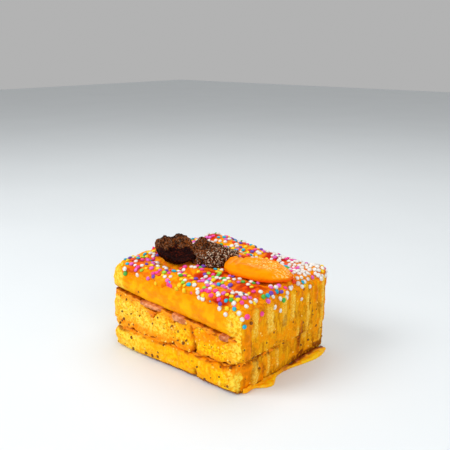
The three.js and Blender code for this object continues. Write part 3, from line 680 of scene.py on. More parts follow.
bpy.ops.object.select_all(action="DESELECT")
bpy.ops.mesh.primitive_grid_add(x_subdivisions=FACE_COLUMNS, y_subdivisions=FACE_ROWS, size=1)
coat = bpy.context.object
coat.name = "dragged_crumb"
shares = places(coat) * MM + 0.5
across = FACE_LEFT + shares[:, 0] * (FACE_RIGHT - FACE_LEFT)
height = FACE_LOW + shares[:, 1] * (FACE_HIGH - FACE_LOW)
depsgraph = bpy.context.evaluated_depsgraph_get()
layers = [BVHTree.FromObject(layer, depsgraph) for layer in (bottom_layer, middle_layer, top_layer)]
inwards = Vector((-1, 0, 0))
depths = np.empty(len(shares))
for index, (side, level) in enumerate(zip(across, height)):
    start = Vector((PROBE_START * MM, side * MM, level * MM))
    hits = [layer.ray_cast(start, inwards, PROBE_LENGTH * MM)[0] for layer in layers]
    depths[index] = max([hit.x / MM for hit in hits if hit] + [FACE_BARE])
grid = depths.reshape(-1, FACE_COLUMNS + 1)


def furthest(grid, rows, columns, pick):
    """The highest (or lowest, as pick says) value within a reach of so many rows and columns."""
    padded = np.pad(grid, ((rows, rows), (columns, columns)), mode="edge")
    windows = [
        padded[row:row + grid.shape[0], column:column + grid.shape[1]]
        for row in range(2 * rows + 1) for column in range(2 * columns + 1)
    ]
    return pick.reduce(windows)


# The knife has bridged gaps of up to 3 mm, and of up to 6 mm from top to foot, and evened out the rest.
margin = 8
grid = np.pad(grid, margin, constant_values=FACE_BARE)
grid = furthest(furthest(grid, 4, 4, np.maximum), 4, 4, np.minimum)
grid = furthest(furthest(grid, margin, 0, np.maximum), margin, 0, np.minimum)
grid = grid[margin:-margin, margin:-margin]
padded = np.pad(grid, 1, mode="edge")
shifts = [(row, column) for row in range(3) for column in range(3)]
rows, columns = grid.shape
grid = sum(padded[row:row + rows, column:column + columns] for row, column in shifts) / len(shifts)
points = np.stack([grid.ravel(), across, height], axis=1)


def bands(points, marks):
    """How much each point lies in one of several upright bands, from 0 to 1."""
    _, y, z = points.T
    total = np.zeros(len(points))
    for at, half, top, foot in marks:
        wave = 0.7 * lumps(points, 6, (1, 5, 1), at)
        width = half * (1 + 0.5 * lumps(points, 3, (1, 5, 1), at + 3))
        across = np.abs(y + wave - at) / width
        along = ramp(z, foot - 1.5, foot + 1.5) * ramp(z, top + 1, top - 1)
        total = np.maximum(total, ramp(across, 1.15, 0.6) * along)
    return total


def shade_smooth(piece):
    """Shades every face of a mesh smoothly."""
    for polygon in piece.data.polygons:
        polygon.use_smooth = True


def drop_vertices(piece, unwanted):
    """Deletes the marked vertices of a mesh and the faces on them."""
    select_only(piece)
    bpy.ops.object.mode_set(mode="EDIT")
    bpy.ops.mesh.select_mode(type="VERT")
    bpy.ops.mesh.select_all(action="DESELECT")
    bpy.ops.object.mode_set(mode="OBJECT")
    piece.data.vertices.foreach_set("select", unwanted)
    bpy.ops.object.mode_set(mode="EDIT")
    bpy.ops.mesh.delete(type="VERT")
    bpy.ops.object.mode_set(mode="OBJECT")


# inside is 1 where the coat lies on the face, and 0 where it runs out at its edges or finds no dough.
x, y, z = points.T
ridge = bands(points, CRUMB_RIDGES)
run = bands(points, SYRUP_RUNS)
streak = lumps(points, 1.2, (1, 1, 10)) + 0.5 * lumps(points, 0.8, (1, 1, 4), 4)
grain = lumps(points, 1.1, shift=9)
joint = FACE_JOINT + joint_curl(points)
rough_joint = joint - 2.5 + 0.7 * lumps(points * (0, 1, 0), 3, shift=6.3)
# The band along the joint is painted shade under the overhanging edge of the middle layer, and the coat is
# pressed in there as well.
gap = np.exp(-(((z - rough_joint) / 1.2) ** 2)) * ramp(y + 3 * lumps(points, 5), -1, -8)
inside = ramp(y, -35.4, -34.0) * ramp(y, FACE_RIGHT, FACE_RIGHT - 2.5)
reached_above = ramp(x, 40.2, 41.4)
reached_below = ramp(x, 38.0, 39.4)
inside *= np.where(z > joint + 2.5, reached_above, reached_below)
inside *= ramp(z, FACE_LOW, FACE_LOW + 0.8) * ramp(z, FACE_HIGH, 42)
x += -0.7 + inside * (1.0 + 0.3 * streak + 0.3 * grain * (1 - run) + 0.7 * ridge + 0.5 * run)
x -= 0.7 * gap
put(coat, points)
shade_smooth(coat)
run_out = inside <= 0.02
paint(coat, "ridge", ridge)
paint(coat, "run", run * (1 - ridge))
# The foot, two patches and some smears are painted the same darker brown.
foot = ramp(z + 2 * lumps(points, 3, shift=13) - 1.6 * ramp(y, -6, 20), 4.2, 2.2)
spots = 0.3 * ramp(lumps(points, 2, shift=3), 0.1, 0.3)
foot *= 0.9 * ramp(y + 2 * lumps(points, 4), 3, 9) + spots
brown_patch = 1.1 * np.exp(-(((y - 12.3) / 2.4) ** 2) - ((z - 14.5) / 8) ** 2)
brown_patch += 0.8 * np.exp(-(((y + 16.2) / 1.6) ** 2) - ((z - 7.5) / 2.4) ** 2)
smears = 0.5 * ramp(lumps(points, 2.5, (1, 1, 3), 17), 0.3, 0.6)
paint(coat, "gap", np.clip(gap + foot + brown_patch + smears, 0, 1))


def coat_look(b, where):
    """Brown and yellow streaks drawn downwards, with sandy ridges, orange runs, painted shade in the joint
    gap, and darker brown at the foot, in patches and in smears.
    """
    drawn = b.add("ShaderNodeMapping", {"Vector": where, "Scale": (1, 1, 0.35)})
    streak = b.speckle(drawn, 2.6, 0.38, 0.62, detail=4.0, rough=0.6)
    base = b.mix(streak, COAT_BROWN, COAT_YELLOW)
    base = b.mix(b.speckle(where, 6.5, 0.45, 0.65), base, COAT_ORANGE)
    fleck = b.speckle(where, 1.1, 0.5, 0.68, 0.0, 0.8, detail=4.0, rough=0.7)
    base = b.mix(fleck, base, COAT_FLECK)
    sand = b.speckle(where, 0.8, 0.40, 0.60, detail=4.0, rough=0.75)
    broken = b.speckle(where, 1.8, 0.3, 0.5, 0.5, 1.0, detail=3.0)
    crest = b.math("MULTIPLY", b.attribute("ridge"), broken)
    base = b.mix(crest, base, b.mix(sand, RIDGE_DEEP, RIDGE_SANDY))
    dribble = b.mix(b.speckle(where, 3, 0.40, 0.62, detail=3.0), RUN_ORANGE, RUN_BROWN)
    base = b.mix(b.attribute("run"), base, dribble)
    patchy = b.speckle(where, 1.6, 0.3, 0.55, 0.3, 1.0, detail=3.0)
    base = b.mix(b.math("MULTIPLY", b.attribute("gap"), patchy), base, SHADE_AND_SMEAR_BROWN)
    gloss = b.remap(b.attribute("run"), 0.0, 1.0, 0.6, 0.3)
    grain = b.grain(where, 0.8, 0.5, 0.35, detail=4.0, rough=0.7)
    return {"Base Color": base, "Roughness": gloss, "Normal": grain}


drop_vertices(coat, run_out)
modify(coat, "SOLIDIFY", thickness=0.7 * MM, offset=-1)
select_only(coat)
bpy.ops.object.mode_set(mode="EDIT")
bpy.ops.mesh.select_all(action="SELECT")
bpy.ops.mesh.normals_make_consistent(inside=False)
bpy.ops.object.mode_set(mode="OBJECT")
coat.data.materials.append(new_material("dragged_crumb", coat_look, Specular_IOR_Level=0.03))
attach(coat, "root")


# --------------------------------------------------------------------------------------------------
# Glaze
# --------------------------------------------------------------------------------------------------
# Hot fruit syrup poured over the top and set glossy: thick and red in the hollows, thin over the front
# roll, and hanging in short drips over the front and the cut edge.

ROUND_END_X = -49
FRONT_Y = -35.9
BACK_Y = 38.2
DOUGH_TOP = 46.3
TOP_SAG = 2.6  # how much lower the top is at the back of the cut end
TOP_LIFT = 5.7  # how much higher it is at the back of the rounded end
GLAZE_RED_POOLS = [(31, -16, 12, 9, 1.0), (10, -13, 22, 7, 0.7)]  # x, y, half length, half width, share

THIN_DEEP = (0.80, 0.17, 0.0005)
THIN_LIGHT = (0.97, 0.38, 0.0005)
THICK_RED = (0.45, 0.010, 0.002)
THICK_ORANGE = (0.86, 0.07, 0.0005)


def dough_top(x, y):
    """The height of the top layer's upper side."""
    along = (x - ROUND_END_X) / (CUT_FACE_X - ROUND_END_X)
    across = (y - FRONT_Y) / (BACK_Y - FRONT_Y)
    return DOUGH_TOP - TOP_SAG * along * across**2 + TOP_LIFT * (1 - along) ** 2 * across


glaze = bpy.data.objects.new("glaze", top_layer.data.copy())
glaze.data.name = "glaze"
bpy.context.scene.collection.objects.link(glaze)
glaze.data.materials.clear()
for attribute in ("crumb", "rise", "wet", "cream"):
    glaze.data.attributes.remove(glaze.data.attributes[attribute])
points = places(glaze)
normals = facings(glaze)
x, y, z = points.T
# The glaze ends a little below the top, and lower where it drips. depth is 1 where it lies full, and the
# faces that it doesn't reach are taken off.
drips = np.maximum(lumps(points * (0, 1, 0), 3, shift=2.5), 0) * 9 * ramp(x, 40, 42)
reach = 3.2 - 0.8 * ramp(x, 38, 41) - 2 * ramp(-x, 38, 46) + drips
reach += 1.1 * lumps(points, 4, shift=5)
reach += 3.0 * np.maximum(lumps(points * (1, 0, 0), 4, shift=1.5), 0) * ramp(-y, 24, 31)
depth = ramp(z - dough_top(x, y) + reach, 0, 2.2)
depth *= 1 - 0.55 * ramp(x, 39, 42)
depth *= ramp(normals[:, 2], -0.3, -0.1)
drop_vertices(glaze, depth <= 0)
depth = depth[depth > 0]
glaze.vertex_groups.clear()
weigh(glaze, "depth", depth)
modify(glaze, "SMOOTH", factor=0.6, iterations=16, vertex_group="depth")
modify(glaze, "DISPLACE", strength=1.3 * MM, mid_level=0, vertex_group="depth")
relief(glaze, "CLOUDS", 6, 0.9, "depth", noise_depth=1)
relief(glaze, "CLOUDS", 1.8, 0.3, "depth")
points = places(glaze)
x, y, _ = points.T
redness = ramp(lumps(points, 13, shift=2), 0.0, 0.45)
for along, across, half_length, half_width, share in GLAZE_RED_POOLS:
    away = ((x - along) / half_length) ** 2 + ((y - across) / half_width) ** 2
    redness = np.maximum(redness, share * np.exp(-away))
paint(glaze, "pooled", depth)
paint(glaze, "redness", np.clip(redness, 0, 1))
modify(glaze, "SOLIDIFY", thickness=0.8 * MM, offset=-1)


def glaze_look(b, where):
    """Amber where the glaze is thin, and red where it has pooled."""
    thin = b.mix(b.speckle(where, 3, 0.35, 0.65, detail=3.0), THIN_DEEP, THIN_LIGHT)
    thick = b.mix(b.speckle(where, 3, 0.4, 0.65, detail=3.0), THICK_RED, THICK_ORANGE)
    hue = b.math("MULTIPLY", b.attribute("redness"), b.remap(b.attribute("pooled"), 0.3, 0.9))
    base = b.mix(hue, thin, thick)
    return {"Base Color": base, "Normal": b.grain(where, 2, 0.25, 0.4)}


poured_glaze = new_material("poured_glaze", glaze_look, Roughness=0.35, Specular_IOR_Level=0.03)
glaze.data.materials.append(poured_glaze)
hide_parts("glaze_with_sprinkles")
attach(glaze, "root")


# --------------------------------------------------------------------------------------------------
# Syrup pool
# --------------------------------------------------------------------------------------------------
# Syrup that has run down the cut end, spread over the board in a thin lobe and set along the foot. What
# still clings to the cut end above it is painted on the coat there.

POOL_TOP = 3  # mm, above which the run is left to the coat
FINE_VOXEL = 0.4 * MM

POOL_DEEP = (1.0, 0.34, 0.0005)
POOL_AMBER = (1.0, 0.50, 0.001)
POOL_RIM = (1.0, 0.60, 0.003)
POOL_GLINT = (0.98, 0.58, 0.03)
POOL_BROWN = (0.26, 0.042, 0.001)

pool = merged_copy("pool", ["syrup_pool"])
select_only(pool)
bpy.ops.object.mode_set(mode="EDIT")
bpy.ops.mesh.select_all(action="SELECT")
bpy.ops.mesh.bisect(plane_co=(0, 0, POOL_TOP * MM), plane_no=(0, 0, 1), use_fill=True, clear_outer=True)
bpy.ops.object.mode_set(mode="OBJECT")
modify(pool, "REMESH", mode="VOXEL", voxel_size=FINE_VOXEL, use_smooth_shade=True)
modify(pool, "SMOOTH", factor=0.5, iterations=12)
points = places(pool)
weigh(pool, "above_board", ramp(points[:, 2], 0.2, 1.2))
relief(pool, "CLOUDS", 5, 1.1, "above_board", noise_depth=1)
relief(pool, "CLOUDS", 1.8, 0.6, "above_board", noise_depth=2)
points = places(pool)
x, y, _ = points.T
out = x + 0.8 * lumps(points, 3) - 0.04 * y
inner = ramp(out, 42.9, 41.4) * (0.2 + 0.8 * ramp(y, -6, 6)) * ramp(y, -21, -17)
paint(pool, "inner", inner)
paint(pool, "rim", ramp(out, 42.7, 43.9) * ramp(lumps(points, 2.5, shift=5), -0.4, 0.0))


def pool_look(b, where):
    """Mottled amber, lighter at the rim, and brown with crumb against the foot of the cut end."""
    base = b.mix(b.speckle(where, 4, 0.35, 0.65, detail=3.0), POOL_DEEP, POOL_AMBER)
    base = b.mix(b.attribute("rim"), base, POOL_RIM)
    base = b.mix(b.speckle(where, 1.2, 0.55, 0.7, detail=3.0), base, POOL_GLINT)
    base = b.mix(b.attribute("inner"), base, POOL_BROWN)
    return {"Base Color": base, "Normal": b.grain(where, 2, 0.25, 0.4)}


run_syrup = new_material("run_syrup", pool_look, Roughness=0.25, Specular_IOR_Level=0.12)
pool.data.materials.append(run_syrup)
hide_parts("syrup_pool")
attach(pool, "root")


# --------------------------------------------------------------------------------------------------
# Open prune
# --------------------------------------------------------------------------------------------------
# A pitted prune torn open into a ragged cup, and pressed into the wet glaze. It is black and moist
# inside, with a brown leathery rim.

OPEN_PRUNE_AT = (-20.6, -12.8)
OPEN_PRUNE_BACK = (-0.65, 0.76)  # the way to its standing back wall

PRUNE_BLACK = (0.007, 0.001, 0.001)
PRUNE_RED = (0.09, 0.010, 0.003)
LEATHER_DARK = (0.016, 0.004, 0.001)
LEATHER_BROWN = (0.25, 0.062, 0.009)
# Grey flecks of painted highlight, and painted shade in the wrinkles between them.
GLINT_GREY = (0.74, 0.58, 0.42)
WRINKLE_SHADE = (0.012, 0.003, 0.002)

prune_open = merged_copy("open_prune", ["prune_open"])
modify(prune_open, "REMESH", mode="VOXEL", voxel_size=FINE_VOXEL, use_smooth_shade=True)
modify(prune_open, "LAPLACIANSMOOTH", iterations=4, lambda_factor=1.0)
relief(prune_open, "VORONOI", 4.2, 1.3, level=0.4)
relief(prune_open, "CLOUDS", 2.0, 1.1, noise_depth=2)
relief(prune_open, "CLOUDS", 0.8, 0.4)
points = places(prune_open)
x, y, z = points.T
behind = (points[:, :2] - OPEN_PRUNE_AT) @ OPEN_PRUNE_BACK
rim = ramp(z + 1.8 * lumps(points, 2.5), 53.2, 54.6)
brown = rim * ramp(behind + 2 * lumps(points, 3), -3, 1)
left_edge = ramp(x - 0.5 * y + lumps(points, 3), -21, -25)
paint(prune_open, "brown", brown * (1 - 0.8 * left_edge))
# Faint grey flecks of painted highlight and painted wrinkle shade on the brown rim.
paint(prune_open, "glint_and_crease", 0.12 * brown)


def prune_look(b, where):
    """Black flesh or brown leather, with grey flecks of painted highlight and painted shade in the wrinkles
    between them.
    """
    fine = b.noise(where, 0.9, 3.0, 0.75)
    black = b.mix(b.remap(fine, 0.5, 0.68), PRUNE_BLACK, PRUNE_RED)
    leather = b.mix(b.remap(fine, 0.42, 0.62), LEATHER_DARK, LEATHER_BROWN)
    brown = b.math("ADD", b.attribute("brown"), b.math("MULTIPLY", fine, 0.3))
    base = b.mix(b.remap(brown, 0.2, 0.7), black, leather)
    glint_and_crease = b.attribute("glint_and_crease")
    flecks = b.speckle(where, 1.0, 0.53, 0.61, detail=3.0, rough=0.7)
    base = b.mix(b.math("MULTIPLY", glint_and_crease, flecks), base, GLINT_GREY)
    wrinkles = b.speckle(where, 1.5, 0.46, 0.36, rough=0.7)
    base = b.mix(b.math("MULTIPLY", glint_and_crease, wrinkles), base, WRINKLE_SHADE)
    gloss = b.remap(fine, 0.3, 0.7, 0.35, 0.7)
    return {"Base Color": base, "Roughness": gloss, "Normal": b.bump(fine, 0.8, 0.5)}


prune_skin = new_material("prune_skin", prune_look, Specular_IOR_Level=0.035)
prune_open.data.materials.append(prune_skin)
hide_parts("prune_open")
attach(prune_open, "root")


# --------------------------------------------------------------------------------------------------
# Folded prune
# --------------------------------------------------------------------------------------------------
# A second pitted prune, pressed together into a crumpled heap between the open one and the apricot, with
# painted grey highlights on its wrinkles and painted shade in the creases between them.

prune_folded = merged_copy("folded_prune", ["prune_folded"])
modify(prune_folded, "REMESH", mode="VOXEL", voxel_size=FINE_VOXEL, use_smooth_shade=True)
modify(prune_folded, "LAPLACIANSMOOTH", iterations=4, lambda_factor=1.0)
relief(prune_folded, "VORONOI", 5, 2.2, level=0.4)
relief(prune_folded, "CLOUDS", 2.4, 1.6, noise_depth=2)
relief(prune_folded, "CLOUDS", 0.9, 0.6, noise_depth=1)
points = places(prune_folded)
x, y, _ = points.T
paint(prune_folded, "brown", 0.35 + 0.65 * ramp(x - y * 0.6, 3, -6))
# Painted grey highlights and painted wrinkle shade, most of them on the right of the heap.
glinting = ramp(x + 5 * lumps(points, 4) - 0.3 * y, -8, 2)
paint(prune_folded, "glint_and_crease", 0.15 + 0.85 * glinting)
prune_folded.data.materials.append(prune_skin)
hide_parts("prune_folded")
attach(prune_folded, "root")


# --------------------------------------------------------------------------------------------------
# Apricot half
# --------------------------------------------------------------------------------------------------
# A dried apricot half, lying cut side up in the glaze: a smooth rolled rim round a shallow dish with pale
# sugar crystals, folded over at one end.

APRICOT_AT = (22.2, 1.4)
APRICOT_TURN = math.radians(4)

APRICOT_DEEP = (0.91, 0.215, 0.0003)
APRICOT_LIGHT = (0.97, 0.30, 0.0003)
APRICOT_SHADE_RED = (0.93, 0.11, 0.001)
SUGAR_CRYSTAL = (0.98, 0.70, 0.24)
FOLD_PALE = (0.98, 0.52, 0.08)

apricot = merged_copy("apricot", ["apricot_half"])
modify(apricot, "REMESH", mode="VOXEL", voxel_size=FINE_VOXEL, use_smooth_shade=True)
modify(apricot, "LAPLACIANSMOOTH", iterations=6, lambda_factor=1.5)
points = places(apricot)
normals = facings(apricot)
offset = points[:, :2] - APRICOT_AT
along = offset[:, 0] * math.cos(APRICOT_TURN) + offset[:, 1] * math.sin(APRICOT_TURN)
across = offset[:, 1] * math.cos(APRICOT_TURN) - offset[:, 0] * math.sin(APRICOT_TURN)
upper = ramp(normals[:, 2], 0.1, 0.6)
dish = np.exp(-(((along - 3.5) / 12) ** 2) - ((across - 2) / 6.5) ** 2)
folds = [along + 10.5 + 0.35 * across, along + 13.5 + 0.2 * across]
fold = np.maximum(*[np.exp(-((line / 0.8) ** 2)) for line in folds]) * ramp(np.abs(across - 1), 10, 6)
points[:, 2] += upper * (-1.3 * dish - 1.1 * fold)
put(apricot, points)
weigh(apricot, "dish", upper * ramp(dish, 0.15, 0.6))
relief(apricot, "CLOUDS", 6, 0.8)
relief(apricot, "CLOUDS", 2.2, 0.7, "dish", noise_depth=2)
sugar = ramp(along + 2 * lumps(points, 4), -8, -2) * ramp(across + 2 * lumps(points, 3), -7, -4)
paint(apricot, "sugar", upper * sugar)
# Painted shade: deeper red towards the underside of the rim.
paint(apricot, "under_rim", ramp(points[:, 2] + 0.4 * lumps(points, 4), 49.4, 48.0))
paint(apricot, "crease", upper * fold)


def apricot_look(b, where):
    """Orange flesh, deeper red under the rim as painted shade, pale in the folds, with sugar crystals in the
    dish.
    """
    flesh = b.mix(b.speckle(where, 6, 0.35, 0.65), APRICOT_DEEP, APRICOT_LIGHT)
    strewn = b.math("MULTIPLY", b.attribute("sugar"), b.speckle(where, 4, 0.35, 0.6, 0.35, 1.0))
    crystals = b.speckle(where, 1.1, 0.51, 0.57, detail=3.0, rough=0.8)
    base = b.mix(b.math("MULTIPLY", strewn, crystals), flesh, SUGAR_CRYSTAL)
    base = b.mix(b.attribute("under_rim"), base, APRICOT_SHADE_RED)
    base = b.mix(b.math("MULTIPLY", b.attribute("crease"), 0.8), base, FOLD_PALE)
    return {"Base Color": base, "Normal": b.grain(where, 0.9, 0.35, 0.3, detail=3.0)}


apricot_flesh = new_material("apricot_flesh", apricot_look, Roughness=0.45, Specular_IOR_Level=0.02)
apricot.data.materials.append(apricot_flesh)
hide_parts("apricot_half")
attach(apricot, "root")


# --------------------------------------------------------------------------------------------------
# Sprinkles
# --------------------------------------------------------------------------------------------------
# Slightly flattened balls of coloured sugar, strewn by hand over the wet glaze and stuck in it. They lie
# thickest at the back corner, and a few have rolled down the front and the cut face.

SPRINKLE_WIDTH = 2.5
SPRINKLE_FLATNESS = 0.58
SPRINKLE_SPACING = 1.85
SPRINKLES_ON_GLAZE = 545
SPRINKLES_ON_FACE = 9
SPRINKLES_ON_ROLL = 20
SPRINKLE_COLOURS = {
    "white": (0.86, 0.83, 0.78), "pink": (0.95, 0.055, 0.33), "orchid": (0.80, 0.14, 0.60),
    "yellow": (0.98, 0.66, 0.004), "blue": (0.012, 0.47, 0.66), "green": (0.08, 0.46, 0.05),
    "lime": (0.38, 0.70, 0.04), "violet": (0.18, 0.06, 0.46), "red": (0.90, 0.07, 0.012),
}
SPRINKLE_SHARES = {
    "white": 31, "pink": 15, "orchid": 11, "yellow": 17, "blue": 8,
    "green": 4, "lime": 4, "violet": 8, "red": 4,
}


def scatter(name, pattern, seats):
    """One piece made of copies of a small mesh, each at its seat: a place, a facing, a size and a turn."""
    copies = []
    for place, facing, size, turn in seats:
        copy = bpy.data.objects.new(name, pattern.data.copy())
        upright = Vector(facing).to_track_quat("Z", "Y").to_matrix().to_4x4()
        where = Matrix.Translation(Vector(place) * MM)
        copy.data.transform(where @ upright @ Matrix.Rotation(turn, 4, "Z") @ Matrix.Diagonal((*size, 1)))
        bpy.context.scene.collection.objects.link(copy)
        copies.append(copy)
    select_only(*copies)
    bpy.ops.object.join()
    piece = bpy.context.view_layer.objects.active
    piece.name = name
    shade_smooth(piece)
    return piece


def seats_on(carrier, chance_of, spacing, count, draw):
    """Places and facings strewn over a mesh's vertices by the chance given for each, none closer than the
    spacing."""
    points = places(carrier)
    normals = facings(carrier)
    chance = chance_of(points, normals)
    tries = min(count * 14, int((chance > 0).sum()))
    order = draw.choice(len(points), size=tries, replace=False, p=chance / chance.sum())
    chosen = []
    for index in order:
        near = points[chosen] - points[index]
        if not len(chosen) or np.min(np.sum(near**2, axis=1)) > spacing**2:
            chosen.append(index)
        if len(chosen) == count:
            break
    return points[chosen], normals[chosen]


draw = np.random.default_rng(7)
bpy.ops.object.select_all(action="DESELECT")
bpy.ops.mesh.primitive_uv_sphere_add(segments=8, ring_count=6, radius=0.5 * MM)
ball = bpy.context.object
bpy.ops.object.mode_set(mode="EDIT")
bpy.ops.transform.resize(value=(1, 1, SPRINKLE_FLATNESS))
bpy.ops.object.mode_set(mode="OBJECT")
depsgraph = bpy.context.evaluated_depsgraph_get()
fruits = [BVHTree.FromObject(fruit, depsgraph) for fruit in (prune_open, prune_folded, apricot)]


def back_corner(points):
    """1 in the corner behind the apricot, where the sprinkles lie thickest and most of them are white."""
    x, y, _ = points.T
    return ramp(x + y, 34, 50)


def under_fruit(point):
    """Whether a place is under a fruit, or less than a sprinkle's height from one."""
    start = Vector(point) * MM
    above = [fruit.ray_cast(start, Vector((0, 0, 1)), 30 * MM)[0] for fruit in fruits]
    beside = [fruit.find_nearest(start, 0.9 * MM)[0] for fruit in fruits]
    return any(above) or any(beside)


def sprinkle_chance(points, normals):
    """The chance of a sprinkle at each point of the glaze: on top, in drifts, and none under a fruit."""
    x, y, z = points.T
    drop = dough_top(x, y) - z
    edge = 5 + 3.5 * ramp(x, -40, 20) * (y < 0)
    chance = ramp(normals[:, 2], -0.3, 0.3) * ramp(drop, edge, edge - 4)
    chance *= 0.75 + 0.25 * ramp(x, -30, 10)
    chance *= 0.06 + ramp(lumps(points, 4.5, shift=21), -0.3, 0.25)
    chance *= 1 + 5 * back_corner(points)
    chance *= 1 + 1.2 * ramp(x, 40, 42)
    bare = np.exp(-(((x - 30) / 13) ** 2) - ((y + 17) / 7) ** 2)
    chance *= 1 - 0.75 * bare
    chance += 0.012 * ramp(drop, 12, 8) * (normals[:, 2] > -0.3)
    chance *= np.abs(normals[:, 2]) > 0.02
    for index, point in enumerate(points):
        if chance[index] > 0 and point[2] > 36 and under_fruit(point):
            chance[index] = 0
    return chance


def face_chance(points, normals):
    """A few on the upper part of the cut face."""
    return ramp(normals[:, 0], 0.5, 0.9) * ramp(points[:, 2], 31, 41)


def roll_chance(points, normals):
    """A few on the upper part of the front roll, most of them near the cut end."""
    x, _, z = points.T
    low = 42 - 3.5 * ramp(x, 0, 30)
    right = 0.25 + 0.75 * ramp(x, 8, 26)
    return ramp(-normals[:, 1], 0.4, 0.8) * ramp(z, low, low + 2) * right


places_and_facings = [
    seats_on(glaze, sprinkle_chance, SPRINKLE_SPACING, SPRINKLES_ON_GLAZE, draw),
    seats_on(coat, face_chance, 5, SPRINKLES_ON_FACE, draw),
    seats_on(top_layer, roll_chance, 2.6, SPRINKLES_ON_ROLL, draw),
]
points, normals = [np.concatenate(parts) for parts in zip(*places_and_facings)]
names = list(SPRINKLE_SHARES)
shares = np.array([SPRINKLE_SHARES[name] for name in names], float)
seats = {name: [] for name in names}
for point, normal, whiter in zip(points, normals, back_corner(points)):
    chances = shares.copy()
    chances[names.index("white")] *= 1 + 7 * whiter
    name = names[draw.choice(len(names), p=chances / chances.sum())]
    width = SPRINKLE_WIDTH * draw.uniform(0.8, 1.12)
    size = np.array([width, width * draw.uniform(0.92, 1.05), width])
    seats[name].append((point + normal * width * 0.16, normal, size, draw.uniform(0, math.pi)))


def sprinkle_look(colour):
    def look(b, where):
        darker = tuple(0.8 * part for part in colour)
        base = b.mix(b.speckle(where, 1.5, 0.4, 0.65), darker, colour)
        return {"Base Color": base, "Normal": b.grain(where, 0.5, 0.25, 0.15)}
    return look


for name in names:
    strewn = scatter("sprinkles_" + name, ball, seats[name])
    look = sprinkle_look(SPRINKLE_COLOURS[name])
    strewn.data.materials.append(new_material(name + "_sugar", look, Roughness=0.4, Specular_IOR_Level=0.3))
    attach(strewn, "root")
bpy.data.objects.remove(ball)


# --------------------------------------------------------------------------------------------------
# Anise seeds
# --------------------------------------------------------------------------------------------------
# Whole and broken anise seeds kneaded into the dough and baked in it. They show where the crumb is cut or
# torn, most of them in the ends of the middle sticks.

SEED_BROWN = (0.10, 0.028, 0.004)
SEED_LIGHT = (0.34, 0.12, 0.015)

bpy.ops.object.select_all(action="DESELECT")
bpy.ops.mesh.primitive_uv_sphere_add(segments=6, ring_count=5, radius=0.5 * MM)
seed = bpy.context.object


def seed_chance(points, normals):
    """Only on upright sides, near the outside of the block."""
    x, y, z = points.T
    side = np.maximum(np.abs(normals[:, 0]), np.abs(normals[:, 1]))
    outer = (np.abs(y) > 30) | (np.abs(x) > 38)
    return ramp(side, 0.6, 0.9) * outer * (z > 1.5)


SEED_COUNTS = [(middle_layer, 120), (bottom_layer, 50), (coat, 50), (top_layer, 10)]
seats = []
for carrier, count in SEED_COUNTS:
    points, normals = seats_on(carrier, seed_chance, 2.0, count, draw)
    for point, normal in zip(points, normals):
        length = 0.6 + 1.6 * draw.uniform() ** 2
        width = length * draw.uniform(0.5, 0.9)
        seats.append((point + 0.05 * normal, normal, (width, length, width), draw.uniform(0, math.pi)))
seeds = scatter("anise_seeds", seed, seats)
bpy.data.objects.remove(seed)


def seed_look(b, where):
    base = b.mix(b.noise(where, 1.2), SEED_BROWN, SEED_LIGHT)
    return {"Base Color": base, "Normal": b.grain(where, 0.4, 0.4, 0.2)}


seeds.data.materials.append(new_material("anise_seed", seed_look, Roughness=0.6, Specular_IOR_Level=0.2))
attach(seeds, "root")


# --------------------------------------------------------------------------------------------------
# Crumbs
# --------------------------------------------------------------------------------------------------
# Loose pale crumbs that the knife has torn off and that have stuck to the cut sticks, most of them along
# the sticky joints.

CRUMB_DEEP = (0.95, 0.45, 0.006)
CRUMB_CREAM = (0.98, 0.72, 0.18)

bpy.ops.object.select_all(action="DESELECT")
bpy.ops.mesh.primitive_ico_sphere_add(subdivisions=2, radius=0.5 * MM)
flake = bpy.context.object
relief(flake, "CLOUDS", 0.5, 0.35)


def crumb_chance(points, normals):
    """Where seeds show too, but more often near the joints."""
    x, _, z = points.T
    joints = np.stack([z - lower_joint(points), upper_joint(x) - z])
    near = np.max(np.exp(-((joints / 1.6) ** 2)), axis=0)
    return seed_chance(points, normals) * (0.6 + 3 * near)


CRUMB_COUNTS = [(middle_layer, 170), (bottom_layer, 100), (coat, 50)]
seats = []
for carrier, count in CRUMB_COUNTS:
    points, normals = seats_on(carrier, crumb_chance, 1.3, count, draw)
    for point, normal in zip(points, normals):
        size = draw.uniform(0.6, 1.0, 3) * (0.7 + 1.1 * draw.uniform() ** 2)
        seats.append((point, normal, size, draw.uniform(0, math.pi)))
crumbs = scatter("crumbs", flake, seats)
bpy.data.objects.remove(flake)


def crumb_look(b, where):
    base = b.mix(b.speckle(where, 1.5, 0.35, 0.65, detail=3.0), CRUMB_DEEP, CRUMB_CREAM)
    return {"Base Color": base, "Normal": b.grain(where, 0.5, 0.5, 0.3, detail=3.0)}


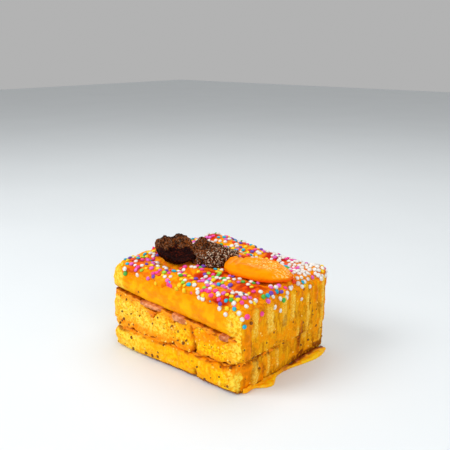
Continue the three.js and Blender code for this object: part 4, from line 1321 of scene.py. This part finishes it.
crumbs.data.materials.append(new_material("pale_crumb", crumb_look, Roughness=0.8, Specular_IOR_Level=0.1))
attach(crumbs, "root")


# --------------------------------------------------------------------------------------------------
# Studio
# --------------------------------------------------------------------------------------------------
# A plain pale floor under the block, three large soft lamps and a bright room round it, and a camera that
# looks down on its front and its cut face.

FLOOR_GREY = (0.76, 0.80, 0.82)
FLOOR_PALE = (0.80, 0.84, 0.86)
CAMERA_AT = (203.62, -234.85, 157.78)
CAMERA_DOWN = math.radians(15.98)
CAMERA_ROUND = math.radians(40.65)
LAMP_TARGET = Vector((0, 0, 20)) * MM


def floor_look(b, where):
    return {"Base Color": b.mix(b.noise(where, 120), FLOOR_GREY, FLOOR_PALE)}


bpy.ops.object.select_all(action="DESELECT")
bpy.ops.mesh.primitive_plane_add(size=4, location=(0, 0, -0.1 * MM))
floor = bpy.context.object
floor.name = "floor"
floor.data.materials.append(new_material("pale_floor", floor_look, Roughness=0.6))


def soft_light(name, place, size, watts):
    """A square lamp that faces the block. Its place and size are in metres."""
    lamp = bpy.data.lights.new(name, "AREA")
    lamp.energy = watts
    lamp.size = size
    holder = bpy.data.objects.new(name, lamp)
    holder.location = place
    holder.rotation_euler = (LAMP_TARGET - Vector(place)).to_track_quat("-Z", "Y").to_euler()
    bpy.context.scene.collection.objects.link(holder)


soft_light("key", (-0.35, -0.55, 0.6), 0.4, 4.3)
soft_light("fill", (0.7, -0.35, 0.35), 0.5, 2.3)
soft_light("top", (0.0, 0.25, 0.8), 0.6, 2.4)

world = bpy.data.worlds.new("studio")
world.use_nodes = True
room = world.node_tree.nodes["Background"].inputs
room["Color"].default_value = (1, 1, 1, 1)
room["Strength"].default_value = 0.45
bpy.context.scene.world = world
bpy.context.scene.view_settings.view_transform = "Standard"

lens = bpy.data.cameras.new("camera")
lens.lens = 50
lens.sensor_width = 36
camera = bpy.data.objects.new("camera", lens)
camera.location = Vector(CAMERA_AT) * MM
camera.rotation_euler = (math.radians(90) - CAMERA_DOWN, 0, CAMERA_ROUND)
bpy.context.scene.collection.objects.link(camera)
bpy.context.scene.camera = camera
